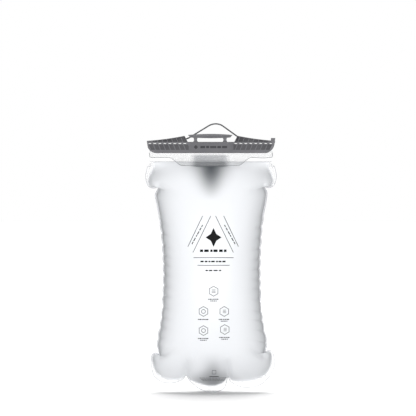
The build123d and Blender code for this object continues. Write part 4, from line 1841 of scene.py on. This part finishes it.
    def build_badge(self, plan: BadgePlan) -> None:
        """Builds the large badge: slanted frame lines, the star, and dashes for its words.

        Args:
            plan: Its layout.
        """
        bm, x = bmesh.new(), plan.x
        for side, draw in ((-1, 0.0), (1, plan.right_draw)):
            for top, foot, top_z, foot_z in plan.frame:
                start, end = (x + side * (top - draw), top_z), (x + side * (foot - draw), foot_z)
                self.stroke(bm, start, end, plan.frame_width)
            start, end = ((x + side * across, z) for across, z in (plan.slant_start, plan.slant_end))
            self.words(bm, start, end, plan.slant_width, plan.slant_count)
        for half, z in plan.bars:
            self.stroke(bm, (x - half, z), (x + half, z), plan.bar_width)
        for row in plan.rows:
            self.row(bm, x, 0.0, row)
        self._finish("badge_frame", bm)
        bm = bmesh.new()
        self.star(bm, x, plan.star_z, *plan.star_half)
        bmesh.ops.triangulate(bm, faces=bm.faces[:])
        bmesh.ops.subdivide_edges(bm, edges=bm.edges[:], cuts=2, use_grid_fill=True)
        self.row(bm, x, 0.0, plan.title)
        self._finish("badge_star", bm)

    def build_icons(self, plan: IconPlan) -> None:
        """Builds the small icons, each a hexagon with a plain sign and dashes under it.

        Args:
            plan: Their layout.
        """
        bm = bmesh.new()
        for index, (x, z) in enumerate(plan.spots):
            self.ring(bm, x, z, plan.hexagon, plan.hexagon_width, 6)
            if index % 2:
                self.ring(bm, x, z, plan.circle, plan.circle_width, plan.circle_sides)
            else:
                left = x - plan.bar_half + plan.bar_cut * index
                for rise in plan.bar_rises:
                    self.stroke(bm, (left, z + rise), (x + plan.bar_half, z + rise), plan.bar_width)
            self.row(bm, x, z, plan.row)
            if index != plan.single_row_icon:
                self.row(bm, x, z, plan.second_row)
        self._finish("care_icons", bm)

    def build_notes(self, plan: NotesPlan) -> None:
        """Builds the small print at the bottom: a box, a line and rows of dashes.

        Args:
            plan: Its layout.
        """
        bm, x = bmesh.new(), plan.x
        self.ring(bm, x, plan.box_z, plan.box, plan.box_width, 4, turn=math.pi / 4)
        self.stroke(bm, (x - plan.line_half, plan.line_z), (x + plan.line_half, plan.line_z), plan.line_width)
        for k in range(plan.row_count):
            half, z = plan.row_half - plan.row_step * k, plan.row_z - plan.row_step * k
            self.row(bm, x, 0.0, DashRow(-half, half, z, plan.row_width, plan.row_dashes))
        self._finish("care_box", bm)

    def build_scale(self, plan: ScalePlan) -> None:
        """Builds a volume scale: ticks down one side.

        Args:
            plan: Its layout.
        """
        bm = bmesh.new()
        for k in range(plan.count):
            length, z = plan.short_tick if k % 2 else plan.long_tick, plan.top - k * plan.pitch
            self.stroke(bm, (plan.x - length, z), (plan.x, z), plan.width)
        self._finish("volume_scale", bm)


def main() -> None:
    """Builds the bladder's sub-assemblies in order."""
    logging.basicConfig(level=logging.INFO, format="%(name)s: %(message)s")
    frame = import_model()
    nodes = frame["nodes"]
    low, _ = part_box("front_film")
    Studio(floor_z=low.z).build()
    SlideClosure().build(nodes["slide_closure"])
    HangCord().build([nodes["left_knot"], nodes["right_knot"]])
    HosePort().build(nodes)
    bag, mouth = FilmBag(), MouthFold()
    film = bag.finish.build()
    panels = {}
    for side in Film:
        node = f"{side.name.lower()}_film"
        panels[side] = bag.build_panel(side, film)
        for piece in (panels[side], mouth.build(side, film)):
            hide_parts(node)
            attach(piece, "bag")
            log.info("%s", piece.name)
    FilmEdges(bag, mouth).build()
    ink = BeadFinish("black_ink", (0.009, 0.009, 0.010, 1), roughness=0.7, specular=0.1).build()
    faint = BeadFinish("grey_ink", (0.02, 0.02, 0.022, 1), roughness=0.7, specular=0.1).build()
    FilmPrint(panels[Film.FRONT], Film.FRONT, ink).build_badge(BadgePlan())
    small = FilmPrint(panels[Film.FRONT], Film.FRONT, faint)
    small.build_icons(IconPlan())
    small.build_notes(NotesPlan())
    FilmPrint(panels[Film.BACK], Film.BACK, faint).build_scale(ScalePlan())


if __name__ == "__main__":
    main()
